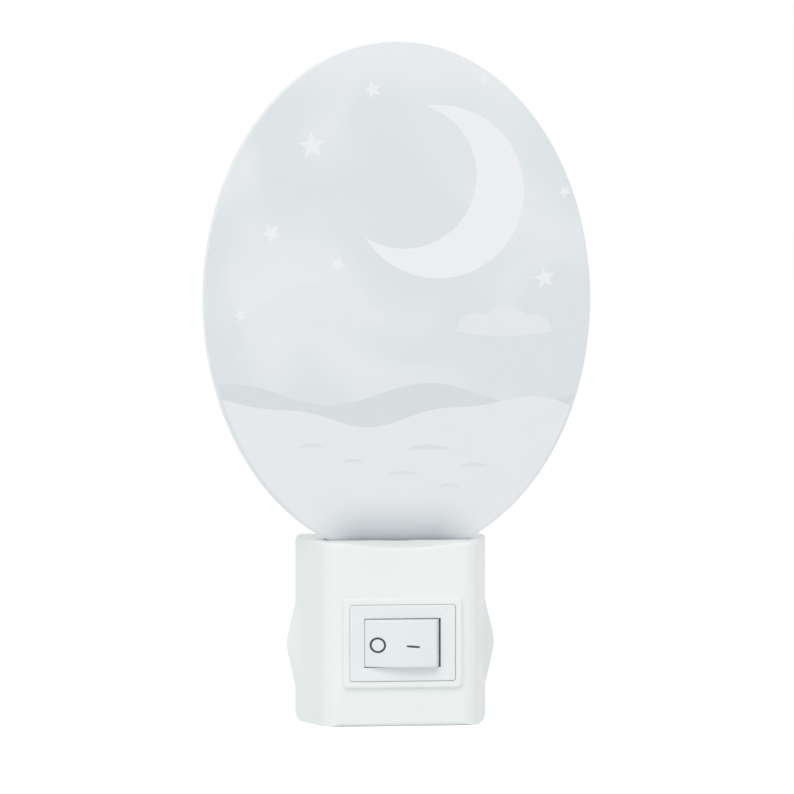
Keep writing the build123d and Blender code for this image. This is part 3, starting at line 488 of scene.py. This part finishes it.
def masked_laminate():
    # Glass and epoxy board under green solder mask: a glossy deep green with the cloth's threads
    # showing through, 0.6 mm apart.
    finish, tree, place = start_finish("glass_epoxy_solder_masked")
    warp, weft = [
        add_node(
            tree, "ShaderNodeTexWave",
            {"Vector": place, "Scale": per_mm(0.6) / BANDS, "Distortion": 0.4},
            bands_direction=direction,
        )
        for direction in ("X", "Z")
    ]
    cloth = add_node(
        tree, "ShaderNodeMath", {0: warp.outputs["Fac"], 1: weft.outputs["Fac"]},
        operation="MULTIPLY",
    )
    tint = add_node(tree, "ShaderNodeValToRGB", {"Fac": cloth.outputs["Value"]})
    tint.color_ramp.elements[0].color = hex_colour("#23573A")
    tint.color_ramp.elements[1].color = hex_colour("#2F6B46")
    bump = add_node(
        tree, "ShaderNodeBump",
        {"Height": cloth.outputs["Value"], "Strength": 0.15, "Distance": 0.01 * MM},
    )
    surface = add_node(
        tree, "ShaderNodeBsdfPrincipled",
        {
            "Base Color": tint.outputs["Color"], "Roughness": 0.28,
            "Normal": bump.outputs["Normal"], "IOR": 1.54,
        },
    )
    add_node(tree, "ShaderNodeOutputMaterial", {"Surface": surface.outputs["BSDF"]})
    return finish


def phosphor_resin():
    # Cast lamp resin filled with phosphor: milky yellow, soft edged, denser in patches.
    finish, tree, place = start_finish("cast_phosphor_resin")
    fill = add_node(
        tree, "ShaderNodeTexNoise", {"Vector": place, "Scale": per_mm(0.4), "Detail": 3.0}
    )
    tint = add_node(tree, "ShaderNodeValToRGB", {"Fac": fill.outputs["Fac"]})
    tint.color_ramp.elements[0].color = hex_colour("#E9D978")
    tint.color_ramp.elements[1].color = hex_colour("#F5ECA8")
    surface = add_node(
        tree, "ShaderNodeBsdfPrincipled",
        {
            "Base Color": tint.outputs["Color"], "Roughness": 0.3, "IOR": 1.5,
            "Subsurface Weight": 0.3, "Subsurface Scale": 0.3 * MM,
        },
    )
    add_node(tree, "ShaderNodeOutputMaterial", {"Surface": surface.outputs["BSDF"]})
    return finish


def banded_resistor(name, node, bands):
    # Dip lacquered resistor: a glossy pale blue body with its colour bands, and tinned leads
    # beyond its ends.
    low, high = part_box(node)
    lead, body = hex_colour("#C9CBCB"), hex_colour("#9DBACB")
    lead_share, first_band, band_step, band_width = 0.14, 0.24, 0.15, 0.06
    finish, tree, place = start_finish(name)
    parts = add_node(tree, "ShaderNodeSeparateXYZ", {"Vector": place})
    along = add_node(
        tree, "ShaderNodeMapRange",
        {"Value": parts.outputs["X"], "From Min": low.x, "From Max": high.x},
    )
    paint = add_node(tree, "ShaderNodeValToRGB", {"Fac": along.outputs["Result"]})
    ramp = paint.color_ramp
    ramp.interpolation = "CONSTANT"
    ramp.elements[0].color = lead
    ramp.elements[1].position = lead_share
    ramp.elements[1].color = body
    for index, band in enumerate(bands):
        start = first_band + band_step * index
        ramp.elements.new(start).color = hex_colour(band)
        ramp.elements.new(start + band_width).color = body
    ramp.elements.new(1 - lead_share).color = lead
    lacquer = add_node(
        tree, "ShaderNodeTexNoise", {"Vector": place, "Scale": per_mm(0.8), "Detail": 2.0}
    )
    bump = add_node(
        tree, "ShaderNodeBump",
        {"Height": lacquer.outputs["Fac"], "Strength": 0.2, "Distance": 0.03 * MM},
    )
    surface = add_node(
        tree, "ShaderNodeBsdfPrincipled",
        {
            "Base Color": paint.outputs["Color"], "Roughness": 0.2,
            "Normal": bump.outputs["Normal"], "IOR": 1.5,
        },
    )
    add_node(tree, "ShaderNodeOutputMaterial", {"Surface": surface.outputs["BSDF"]})
    return finish


def sleeved_can():
    # Electrolytic capacitor: a dark blue shrunk sleeve with a pale stripe down its side, and the
    # bare aluminium of its vented end.
    low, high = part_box("smoothing_capacitor")
    stripe_from, bare_below = high.x - 0.5 * MM, low.y + 0.15 * MM
    finish, tree, place = start_finish("shrink_sleeved_aluminium_can")
    parts = add_node(tree, "ShaderNodeSeparateXYZ", {"Vector": place})
    stripe = add_node(
        tree, "ShaderNodeMath", {0: parts.outputs["X"], 1: stripe_from},
        operation="GREATER_THAN",
    )
    sleeve = add_node(
        tree, "ShaderNodeMix",
        {0: stripe.outputs["Value"], 6: hex_colour("#1E2A44"), 7: hex_colour("#C4CBD2")},
        data_type="RGBA",
    )
    bare = add_node(
        tree, "ShaderNodeMath", {0: parts.outputs["Y"], 1: bare_below}, operation="LESS_THAN"
    )
    colour = add_node(
        tree, "ShaderNodeMix",
        {0: bare.outputs["Value"], 6: sleeve.outputs[2], 7: hex_colour("#C8CACC")},
        data_type="RGBA",
    )
    wrinkle = add_node(
        tree, "ShaderNodeTexNoise", {"Vector": place, "Scale": per_mm(0.5), "Detail": 2.0}
    )
    bump = add_node(
        tree, "ShaderNodeBump",
        {"Height": wrinkle.outputs["Fac"], "Strength": 0.1, "Distance": 0.02 * MM},
    )
    surface = add_node(
        tree, "ShaderNodeBsdfPrincipled",
        {
            "Base Color": colour.outputs[2], "Metallic": bare.outputs["Value"],
            "Roughness": 0.3, "Normal": bump.outputs["Normal"],
        },
    )
    add_node(tree, "ShaderNodeOutputMaterial", {"Surface": surface.outputs["BSDF"]})
    return finish


# ---------------------------------------------------------------------------- thin printed pieces
def add_piece(name, build, finish, body):
    """New mesh piece from a bmesh drawn in millimetres, with its finish, on a body."""
    bmesh.ops.recalc_face_normals(build, faces=build.faces)
    bmesh.ops.scale(build, vec=(MM, MM, MM), verts=build.verts)
    mesh = bpy.data.meshes.new(name)
    build.to_mesh(mesh)
    build.free()
    mesh.materials.append(finish)
    piece = bpy.data.objects.new(name, mesh)
    bpy.context.scene.collection.objects.link(piece)
    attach(piece, body)


def add_outlines(build, outlines, low, high):
    """Adds closed flat sheets of ink, from low to high in front of the film."""
    face = FILM_LOW.y / MM
    for outline in outlines:
        front = [build.verts.new((x, face - high, z)) for x, z in outline]
        back = [build.verts.new((x, face - low, z)) for x, z in outline]
        caps = [build.faces.new(front), build.faces.new(back[::-1])]
        for i, corner in enumerate(front):
            build.faces.new((corner, front[i - 1], back[i - 1], back[i]))
        for cap in caps:
            cap.normal_update()
        bmesh.ops.triangulate(build, faces=caps)


def circle_points(x, z, radius, start, end, count):
    """Points along an arc from angle start to end."""
    turns = [start + (end - start) * i / (count - 1) for i in range(count)]
    return [(x + radius * math.cos(t), z + radius * math.sin(t)) for t in turns]


def crescent(x, z, radius, lean):
    """Crescent moon: its outer circle less a smaller one pushed aside at the angle lean."""
    bite, push = 0.84 * radius, 0.44 * radius
    chord = (push**2 + radius**2 - bite**2) / (2 * push)
    outer = math.acos(chord / radius)
    inner = math.acos((chord - push) / bite)
    outside = circle_points(x, z, radius, lean + outer, lean + 2 * math.pi - outer, 90)
    bite_x, bite_z = x + push * math.cos(lean), z + push * math.sin(lean)
    inside = circle_points(bite_x, bite_z, bite, lean + 2 * math.pi - inner, lean + inner, 70)
    return outside + inside[1:-1]


def star(x, z, radius, lean):
    """Five pointed star."""
    notch = 0.42 * radius
    points = []
    for i in range(10):
        reach = notch if i % 2 else radius
        turn = lean + math.pi / 2 + i * math.pi / 5
        points.append((x + reach * math.cos(turn), z + reach * math.sin(turn)))
    return points


def cloud(x, z, length, puffs):
    """Low cloud with a flat foot: puffs are centre and radius shares of its length."""
    foot, top_steps, foot_steps = 0.05 * length, 80, 20
    top = []
    for i in range(top_steps + 1):
        across = -0.5 + i / top_steps
        heights = [
            math.sqrt(max(0.0, radius**2 - (across - centre) ** 2)) for centre, radius in puffs
        ]
        top.append((x + across * length, z + max(heights) * length))
    underside = [
        (x + (0.5 - i / foot_steps) * length, z - foot * math.sin(math.pi * i / foot_steps))
        for i in range(1, foot_steps)
    ]
    return top + underside


def ripple(x, z, length, bow):
    """Slim curved glint on the water."""
    thickest, steps = 0.055 * length, 24
    upper, lower = [], []
    for i in range(steps + 1):
        across = -1 + 2 * i / steps
        sag = z - bow * across * across
        half = thickest * (1 - across * across)
        upper.append((x + across * length / 2, sag + half))
        lower.append((x + across * length / 2, sag - half))
    return upper + lower[-2:0:-1]


def swell(x, height, length, start):
    """Height of a wave at x."""
    return height * math.sin(x / length + start)


def sea_below(surface, inset):
    """Film area under a water surface, which is a function from x to its height."""
    reach_x = FILM_HALF_WIDTH / MM - inset
    reach_z = FILM_HALF_HEIGHT / MM - inset
    middle = FILM_MIDDLE.z / MM
    surface_steps, edge_steps, shore_tries = 160, 140, 40
    # Each try comes nearer to the place where the surface meets the film's edge.
    shores = []
    for side in (-1, 1):
        x = side * reach_x
        for _ in range(shore_tries):
            share = (surface(x) - middle) / reach_z
            x = side * reach_x * math.sqrt(1 - share * share)
        shores.append((x, math.atan2(share, x / reach_x)))
    (left, left_turn), (right, right_turn) = shores
    left_turn += 0 if left_turn < 0 else -2 * math.pi
    top = [left + (right - left) * i / surface_steps for i in range(surface_steps + 1)]
    turns = [
        right_turn + (left_turn - right_turn) * i / edge_steps for i in range(1, edge_steps)
    ]
    return [(x, surface(x)) for x in top] + [
        (reach_x * math.cos(t), middle + reach_z * math.sin(t)) for t in turns
    ]


def on_rocker(x, z, lift):
    """Point on the rocker's face at x and z, moved off it by lift."""
    well_in_front = BASE_LOW.y - 10 * MM
    hit, point, normal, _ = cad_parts["rocker"].ray_cast(
        Vector((x * MM, well_in_front, z * MM)), Vector((0, 1, 0))
    )
    if not hit:
        raise RuntimeError("a mark lies off the rocker's face")
    return point / MM + normal * lift


def add_strip(build, rails, closed, lift):
    """Adds a thin strip of ink between two rails of points, lift proud of the face and in it."""
    rows = []
    for inner, outer in rails:
        rows.append([
            build.verts.new(on_rocker(*inner, lift)), build.verts.new(on_rocker(*outer, lift)),
            build.verts.new(on_rocker(*outer, -lift)), build.verts.new(on_rocker(*inner, -lift)),
        ])
    for i in range(len(rows) if closed else len(rows) - 1):
        this, following = rows[i], rows[(i + 1) % len(rows)]
        for k in range(4):
            m = (k + 1) % 4
            build.faces.new((this[k], this[m], following[m], following[k]))
    if not closed:
        build.faces.new(rows[0])
        build.faces.new(rows[-1][::-1])


# ---------------------------------------------------------------------------- stage
def seen_rays(tree):
    """1 for rays by which the eye sees a surface, straight, mirrored or through glass, else 0."""
    rays = add_node(tree, "ShaderNodeLightPath")
    outside = add_node(
        tree, "ShaderNodeMath",
        {0: rays.outputs["Is Camera Ray"], 1: rays.outputs["Is Glossy Ray"]}, operation="MAXIMUM",
    )
    seen = add_node(
        tree, "ShaderNodeMath",
        {0: outside.outputs["Value"], 1: rays.outputs["Is Transmission Ray"]},
        operation="MAXIMUM",
    )
    return seen.outputs["Value"]


# ---------------------------------------------------------------------------- operators
class NIGHTLIGHT_OT_finish_housing(bpy.types.Operator):
    """Finish the housing's shells and screws"""

    bl_idname = "night_light.finish_housing"
    bl_label = "Finish housing"

    def execute(self, context):
        settings = context.scene.night_light_finish
        # Satin moulded ABS: cool white with broad soft highlights.
        dress(
            moulded_plastic("satin_moulded_abs", settings.housing, settings.grain, 0.02 * MM, 0.42),
            "front_shell", "rear_cover",
        )
        # Zinc plated steel: bright bluish grey with dull patches in the drive.
        dress(worked_metal("zinc_plated_steel", hex_colour("#C3C6C8"), 0.3, 0.3, "Y"),
              "housing_screws")
        return {"FINISHED"}


class NIGHTLIGHT_OT_finish_plug(bpy.types.Operator):
    """Finish the plug's pins and sleeves"""

    bl_idname = "night_light.finish_plug"
    bl_label = "Finish plug"

    def execute(self, context):
        # Nickel plated brass, turned: a warm silver with rings from the lathe.
        dress(worked_metal("nickel_plated_turned_brass", hex_colour("#D2CDC3"), 0.16, 0.3, "Y"),
              "line_pin", "neutral_pin")
        # Moulded polyamide: a more matt white than the housing.
        dress(moulded_plastic("matt_moulded_polyamide", hex_colour("#E9EDEC"), 0.3 * MM,
                              0.02 * MM, 0.5), "pin_sleeves")
        return {"FINISHED"}


class NIGHTLIGHT_OT_finish_light_panel(bpy.types.Operator):
    """Finish the acrylic panel, its two films and what holds them"""

    bl_idname = "night_light.finish_light_panel"
    bl_label = "Finish light panel"

    def execute(self, context):
        settings = context.scene.night_light_print
        dress(cast_acrylic(), "light_panel")
        dress(printed_film(settings.sky, settings.haze_and_top_light, settings.foot), "picture_film")
        dress(reflector_film(), "back_film")
        # Moulded ABS, unpolished: the holder under the top wall.
        dress(moulded_plastic("matt_moulded_abs", hex_colour("#ECEFEE"), 0.4 * MM, 0.03 * MM, 0.55),
              "panel_holder")
        # Drawn steel: grey pins with lines along their length.
        dress(worked_metal("drawn_steel", hex_colour("#B4B6B8"), 0.3, 0.2, "X"), "panel_pegs")
        return {"FINISHED"}


class NIGHTLIGHT_OT_print_sky(bpy.types.Operator):
    """Print the moon, the stars and the clouds on the film"""

    bl_idname = "night_light.print_sky"
    bl_label = "Print sky"

    def execute(self, context):
        settings = context.scene.night_light_print
        ink = settings.ink / MM
        moon_ink = matt_ink("screen_ink_moon", settings.moon)
        moon_x, moon_z, moon_lean = 8, 88, math.radians(155)
        build = bmesh.new()
        moon = crescent(moon_x, moon_z, settings.moon_radius / MM, moon_lean)
        add_outlines(build, [moon], 0, ink)
        add_piece("printed_moon", build, moon_ink, "housing")

        # Each star's x, z, radius and lean.
        stars = [
            (-17, 97, 2.9, 0.1), (-25, 80, 2.1, 0.5), (-5, 108, 1.9, 0.3), (17, 110, 1.5, 0.9),
            (-12, 74, 1.7, 0.7), (29, 71, 2.3, 0.2), (-31, 64, 1.5, 0.4), (33, 88, 1.4, 0.6),
        ]
        build = bmesh.new()
        add_outlines(build, [star(*place) for place in stars], 0, ink)
        add_piece("printed_stars", build, moon_ink, "housing")

        # Each cloud's x, z, length and puffs.
        clouds = [
            (-16, 62, 27, [(-0.32, 0.18), (-0.08, 0.3), (0.2, 0.24), (0.36, 0.14)]),
            (21, 60.5, 19, [(-0.3, 0.2), (0.02, 0.27), (0.32, 0.18)]),
        ]
        cloud_ink = matt_ink("screen_ink_cloud", settings.cloud)
        build = bmesh.new()
        add_outlines(build, [cloud(*place) for place in clouds], 0, ink)
        add_piece("printed_clouds", build, cloud_ink, "housing")
        return {"FINISHED"}


class NIGHTLIGHT_OT_print_sea(bpy.types.Operator):
    """Print the two waves and their glints on the film"""

    bl_idname = "night_light.print_sea"
    bl_label = "Print sea"

    def execute(self, context):
        settings = context.scene.night_light_print
        level, ink = settings.waterline / MM, settings.ink / MM
        far_rise, bare_edge, bow = 3.4, 0.4, 0.5

        def far_surface(x):
            return level + far_rise + swell(x, 2.1, 6.2, 0.6)

        def near_surface(x):
            return level + swell(x, 2.4, 9.4, -0.9) + swell(x, 0.7, 3.6, 0)

        # Painted shade: both waves darken where the film meets the housing's slot, like the film
        # under them.
        far_ink = matt_ink("screen_ink_far_wave", settings.far_wave, settings.foot)
        build = bmesh.new()
        add_outlines(build, [sea_below(far_surface, bare_edge)], 0, ink)
        add_piece("printed_far_wave", build, far_ink, "housing")

        near_ink = matt_ink("screen_ink_near_wave", settings.near_wave, settings.foot)
        build = bmesh.new()
        add_outlines(build, [sea_below(near_surface, bare_edge)], ink, 2 * ink)
        add_piece("printed_near_wave", build, near_ink, "housing")

        # Each glint's x, z and length.
        glints = [
            (6, 38, 9), (15, 34.5, 6), (1, 33, 6.5), (10, 30.5, 5), (-17, 38.5, 6), (-9, 35.5, 4.5),
        ]
        build = bmesh.new()
        add_outlines(build, [ripple(*place, bow) for place in glints], 2 * ink, 3 * ink)
        add_piece("printed_glints", build, matt_ink("screen_ink_glint", settings.sky), "housing")
        return {"FINISHED"}


class NIGHTLIGHT_OT_finish_switch(bpy.types.Operator):
    """Finish the rocker switch, inside and out"""

    bl_idname = "night_light.finish_switch"
    bl_label = "Finish switch"

    def execute(self, context):
        settings = context.scene.night_light_finish
        # Moulded nylon from a polished mould: a little glossier than the housing, with a faint
        # orange peel that breaks the highlights along its edges.
        dress(moulded_plastic("gloss_moulded_nylon", settings.switch, 1.6 * MM, 0.01 * MM, 0.3),
              "switch_body")
        # The same moulded nylon with painted shade: a shade greyer, standing in for the tilted
        # rocker's shading.
        dress(moulded_plastic("gloss_moulded_nylon_painted_shade", settings.rocker, 1.6 * MM,
                              0.01 * MM, 0.3), "rocker")
        # Moulded acetal in its natural milky white.
        dress(moulded_plastic("natural_moulded_acetal", hex_colour("#E6E6E0"), 0.5 * MM,
                              0.01 * MM, 0.35, 1.48), "plunger")
        # Hard drawn spring steel: grey, with draw lines along the wire.
        dress(worked_metal("hard_drawn_spring_steel", hex_colour("#A9ABAD"), 0.28, 0.15, "Z"),
              "plunger_spring")
        # Stamped brass strip: warm yellow with rolling lines.
        dress(worked_metal("stamped_brass_strip", hex_colour("#D6B36A"), 0.3, 0.25, "Z"),
              "contact_lever", "common_terminal", "switched_terminal")
        return {"FINISHED"}


class NIGHTLIGHT_OT_print_marks(bpy.types.Operator):
    """Print the ring and the bar on the rocker"""

    bl_idname = "night_light.print_marks"
    bl_label = "Print switch marks"

    def execute(self, context):
        settings = context.scene.night_light_finish
        # Pad printed ink: a matt slate, a touch thin in places.
        ink = matt_ink("pad_printed_slate_ink", settings.marks)
        stroke = settings.mark_stroke / MM
        outer = settings.ring_diameter / 2 / MM
        ring_x, ring_z, bar_x, bar_z = -5.05, -0.3, 1.75, -0.55
        lift, ring_steps = 0.01, 72
        build = bmesh.new()
        rails = []
        for i in range(ring_steps):
            turn = 2 * math.pi * i / ring_steps
            across, up = math.cos(turn), math.sin(turn)
            rails.append((
                (ring_x + (outer - stroke) * across, ring_z + (outer - stroke) * up),
                (ring_x + outer * across, ring_z + outer * up),
            ))
        add_strip(build, rails, True, lift)
        add_piece("ring_mark", build, ink, "rocker")

        # The bar falls a little to the right and has rounded ends.
        fall, blunt_end, squareness, bar_steps = 0.08, 0.15, 0.25, 36
        build = bmesh.new()
        rails = []
        for i in range(bar_steps + 1):
            turn = math.pi * (1 - i / bar_steps)
            along = settings.bar_length / 2 / MM * math.cos(turn)
            half = stroke / 2 * max(blunt_end, math.sin(turn)) ** squareness
            x, z = bar_x + along, bar_z - fall * along
            rails.append(((x, z - half), (x, z + half)))
        add_strip(build, rails, False, lift)
        add_piece("bar_mark", build, ink, "rocker")
        return {"FINISHED"}


class NIGHTLIGHT_OT_finish_electronics(bpy.types.Operator):
    """Finish the boards, their parts and the wires"""

    bl_idname = "night_light.finish_electronics"
    bl_label = "Finish electronics"

    def execute(self, context):
        dress(masked_laminate(), "main_board", "lamp_board")
        dress(phosphor_resin(), "lamps")
        # Epoxy filled moulded box: brick orange, slightly grainy.
        dress(moulded_plastic("moulded_epoxy_box", hex_colour("#B5592A"), 0.5 * MM, 0.03 * MM, 0.4),
              "dropper_capacitor")
        # Transfer moulded epoxy: matt black with a fine grain.
        dress(moulded_plastic("transfer_moulded_epoxy", hex_colour("#232424"), 0.3 * MM,
                              0.03 * MM, 0.5), "bridge_rectifier")
        dress(sleeved_can(), "smoothing_capacitor")
        dress(banded_resistor("lacquer_fusible_resistor", "fusible_resistor",
                              ["#5A3A22", "#1B1B1B", "#1B1B1B", "#B79A4C"]), "fusible_resistor")
        dress(banded_resistor("lacquer_discharge_resistor", "discharge_resistor",
                              ["#5A3A22", "#1B1B1B", "#C9B23A", "#B79A4C"]), "discharge_resistor")
        # Tinned copper wire: soft pale silver.
        dress(worked_metal("tinned_copper_wire", hex_colour("#CFD1D1"), 0.28, 0.2, "Z"),
              "lamp_links")
        # Extruded soft vinyl: smooth with a low gloss.
        dress(moulded_plastic("extruded_vinyl_brown", hex_colour("#5E3B26"), 0.6 * MM,
                              0.01 * MM, 0.35), "live_wire", "switched_wire")
        dress(moulded_plastic("extruded_vinyl_blue", hex_colour("#2F5FA8"), 0.6 * MM,
                              0.01 * MM, 0.35), "neutral_wire")
        return {"FINISHED"}


class NIGHTLIGHT_OT_set_stage(bpy.types.Operator):
    """Set up the floor, the light and the camera"""

    bl_idname = "night_light.set_stage"
    bl_label = "Set stage"

    def execute(self, context):
        settings = context.scene.night_light_stage
        scene = context.scene
        scene.view_settings.view_transform = "Standard"
        low, high = Vector(cad_bounds[0]), Vector(cad_bounds[1])
        middle = (low + high) / 2
        floor_half_width, floor_glow = 6, 0.36
        softbox_size, softbox_from_middle = (1.1, 0.9), Vector((-0.36, -1.06, 0.86))

        # Painted board, matt: a plain pale floor, white to the eye where nothing shades it.
        build = bmesh.new()
        bmesh.ops.create_grid(build, x_segments=1, y_segments=1, size=floor_half_width)
        mesh = bpy.data.meshes.new("floor")
        build.to_mesh(mesh)
        build.free()
        floor = bpy.data.objects.new("floor", mesh)
        floor.location = (middle.x, middle.y, low.z)
        scene.collection.objects.link(floor)
        finish = bpy.data.materials.new("painted_floor")
        finish.use_nodes = True
        tree = finish.node_tree
        tree.nodes.clear()
        glow = add_node(
            tree, "ShaderNodeMath", {0: seen_rays(tree), 1: floor_glow}, operation="MULTIPLY"
        )
        paint = add_node(tree, "ShaderNodeBsdfDiffuse", {"Color": settings.floor})
        lift = add_node(
            tree, "ShaderNodeEmission",
            {"Color": hex_colour("#FFFFFF"), "Strength": glow.outputs["Value"]},
        )
        both = add_node(
            tree, "ShaderNodeAddShader", {0: paint.outputs["BSDF"], 1: lift.outputs["Emission"]}
        )
        add_node(tree, "ShaderNodeOutputMaterial", {"Surface": both.outputs["Shader"]})
        mesh.materials.append(finish)

        # Even white light all round, and plain white where it is seen or reflected.
        world = bpy.data.worlds.new("even_light")
        scene.world = world
        world.use_nodes = True
        tree = world.node_tree
        tree.nodes.clear()
        strength = add_node(
            tree, "ShaderNodeMapRange",
            {"Value": seen_rays(tree), "To Min": settings.sky_light, "To Max": 1.0},
        )
        sky = add_node(
            tree, "ShaderNodeBackground",
            {"Color": hex_colour("#FFFFFF"), "Strength": strength.outputs["Result"]},
        )
        add_node(tree, "ShaderNodeOutputWorld", {"Surface": sky.outputs["Background"]})

        lamp = bpy.data.lights.new("softbox", "AREA")
        lamp.shape = "RECTANGLE"
        lamp.size, lamp.size_y = softbox_size
        lamp.energy = settings.softbox
        softbox = bpy.data.objects.new("softbox", lamp)
        softbox.location = middle + softbox_from_middle
        softbox.rotation_euler = (softbox.location - middle).to_track_quat("Z", "Y").to_euler()
        scene.collection.objects.link(softbox)

        camera = bpy.data.objects.new("camera", bpy.data.cameras.new("camera"))
        camera.data.lens = settings.lens
        turn, rise = settings.azimuth, settings.elevation
        back = Vector((
            math.sin(turn) * math.cos(rise), -math.cos(turn) * math.cos(rise), math.sin(rise)
        ))
        camera.location = Vector(settings.target) + back * settings.distance
        camera.rotation_euler = back.to_track_quat("Z", "Y").to_euler()
        scene.collection.objects.link(camera)
        scene.camera = camera
        return {"FINISHED"}


# ---------------------------------------------------------------------------- sidebar
class NIGHTLIGHT_PT_sidebar(bpy.types.Panel):
    """Night light settings and steps"""

    bl_idname = "NIGHTLIGHT_PT_sidebar"
    bl_label = "Night Light"
    bl_space_type = "VIEW_3D"
    bl_region_type = "UI"
    bl_category = "Night Light"

    def draw(self, context):
        for group in (
            context.scene.night_light_finish,
            context.scene.night_light_print,
            context.scene.night_light_stage,
        ):
            box = self.layout.box()
            for name in type(group).__annotations__:
                box.prop(group, name)
        for step in STEPS:
            self.layout.operator(step.bl_idname)


STEPS = (
    NIGHTLIGHT_OT_finish_housing,
    NIGHTLIGHT_OT_finish_plug,
    NIGHTLIGHT_OT_finish_light_panel,
    NIGHTLIGHT_OT_print_sky,
    NIGHTLIGHT_OT_print_sea,
    NIGHTLIGHT_OT_finish_switch,
    NIGHTLIGHT_OT_print_marks,
    NIGHTLIGHT_OT_finish_electronics,
    NIGHTLIGHT_OT_set_stage,
)
GROUPS = {
    "night_light_finish": NightLightFinish,
    "night_light_print": NightLightPrint,
    "night_light_stage": NightLightStage,
}


def register():
    for name, group in GROUPS.items():
        bpy.utils.register_class(group)
        setattr(bpy.types.Scene, name, PointerProperty(type=group))
    for step in STEPS:
        bpy.utils.register_class(step)
    bpy.utils.register_class(NIGHTLIGHT_PT_sidebar)


def unregister():
    bpy.utils.unregister_class(NIGHTLIGHT_PT_sidebar)
    for step in reversed(STEPS):
        bpy.utils.unregister_class(step)
    for name, group in GROUPS.items():
        delattr(bpy.types.Scene, name)
        bpy.utils.unregister_class(group)


def main():
    register()
    bpy.ops.night_light.finish_housing()
    bpy.ops.night_light.finish_plug()
    bpy.ops.night_light.finish_light_panel()
    bpy.ops.night_light.print_sky()
    bpy.ops.night_light.print_sea()
    bpy.ops.night_light.finish_switch()
    bpy.ops.night_light.print_marks()
    bpy.ops.night_light.finish_electronics()
    bpy.ops.night_light.set_stage()


if __name__ == "__main__":
    main()
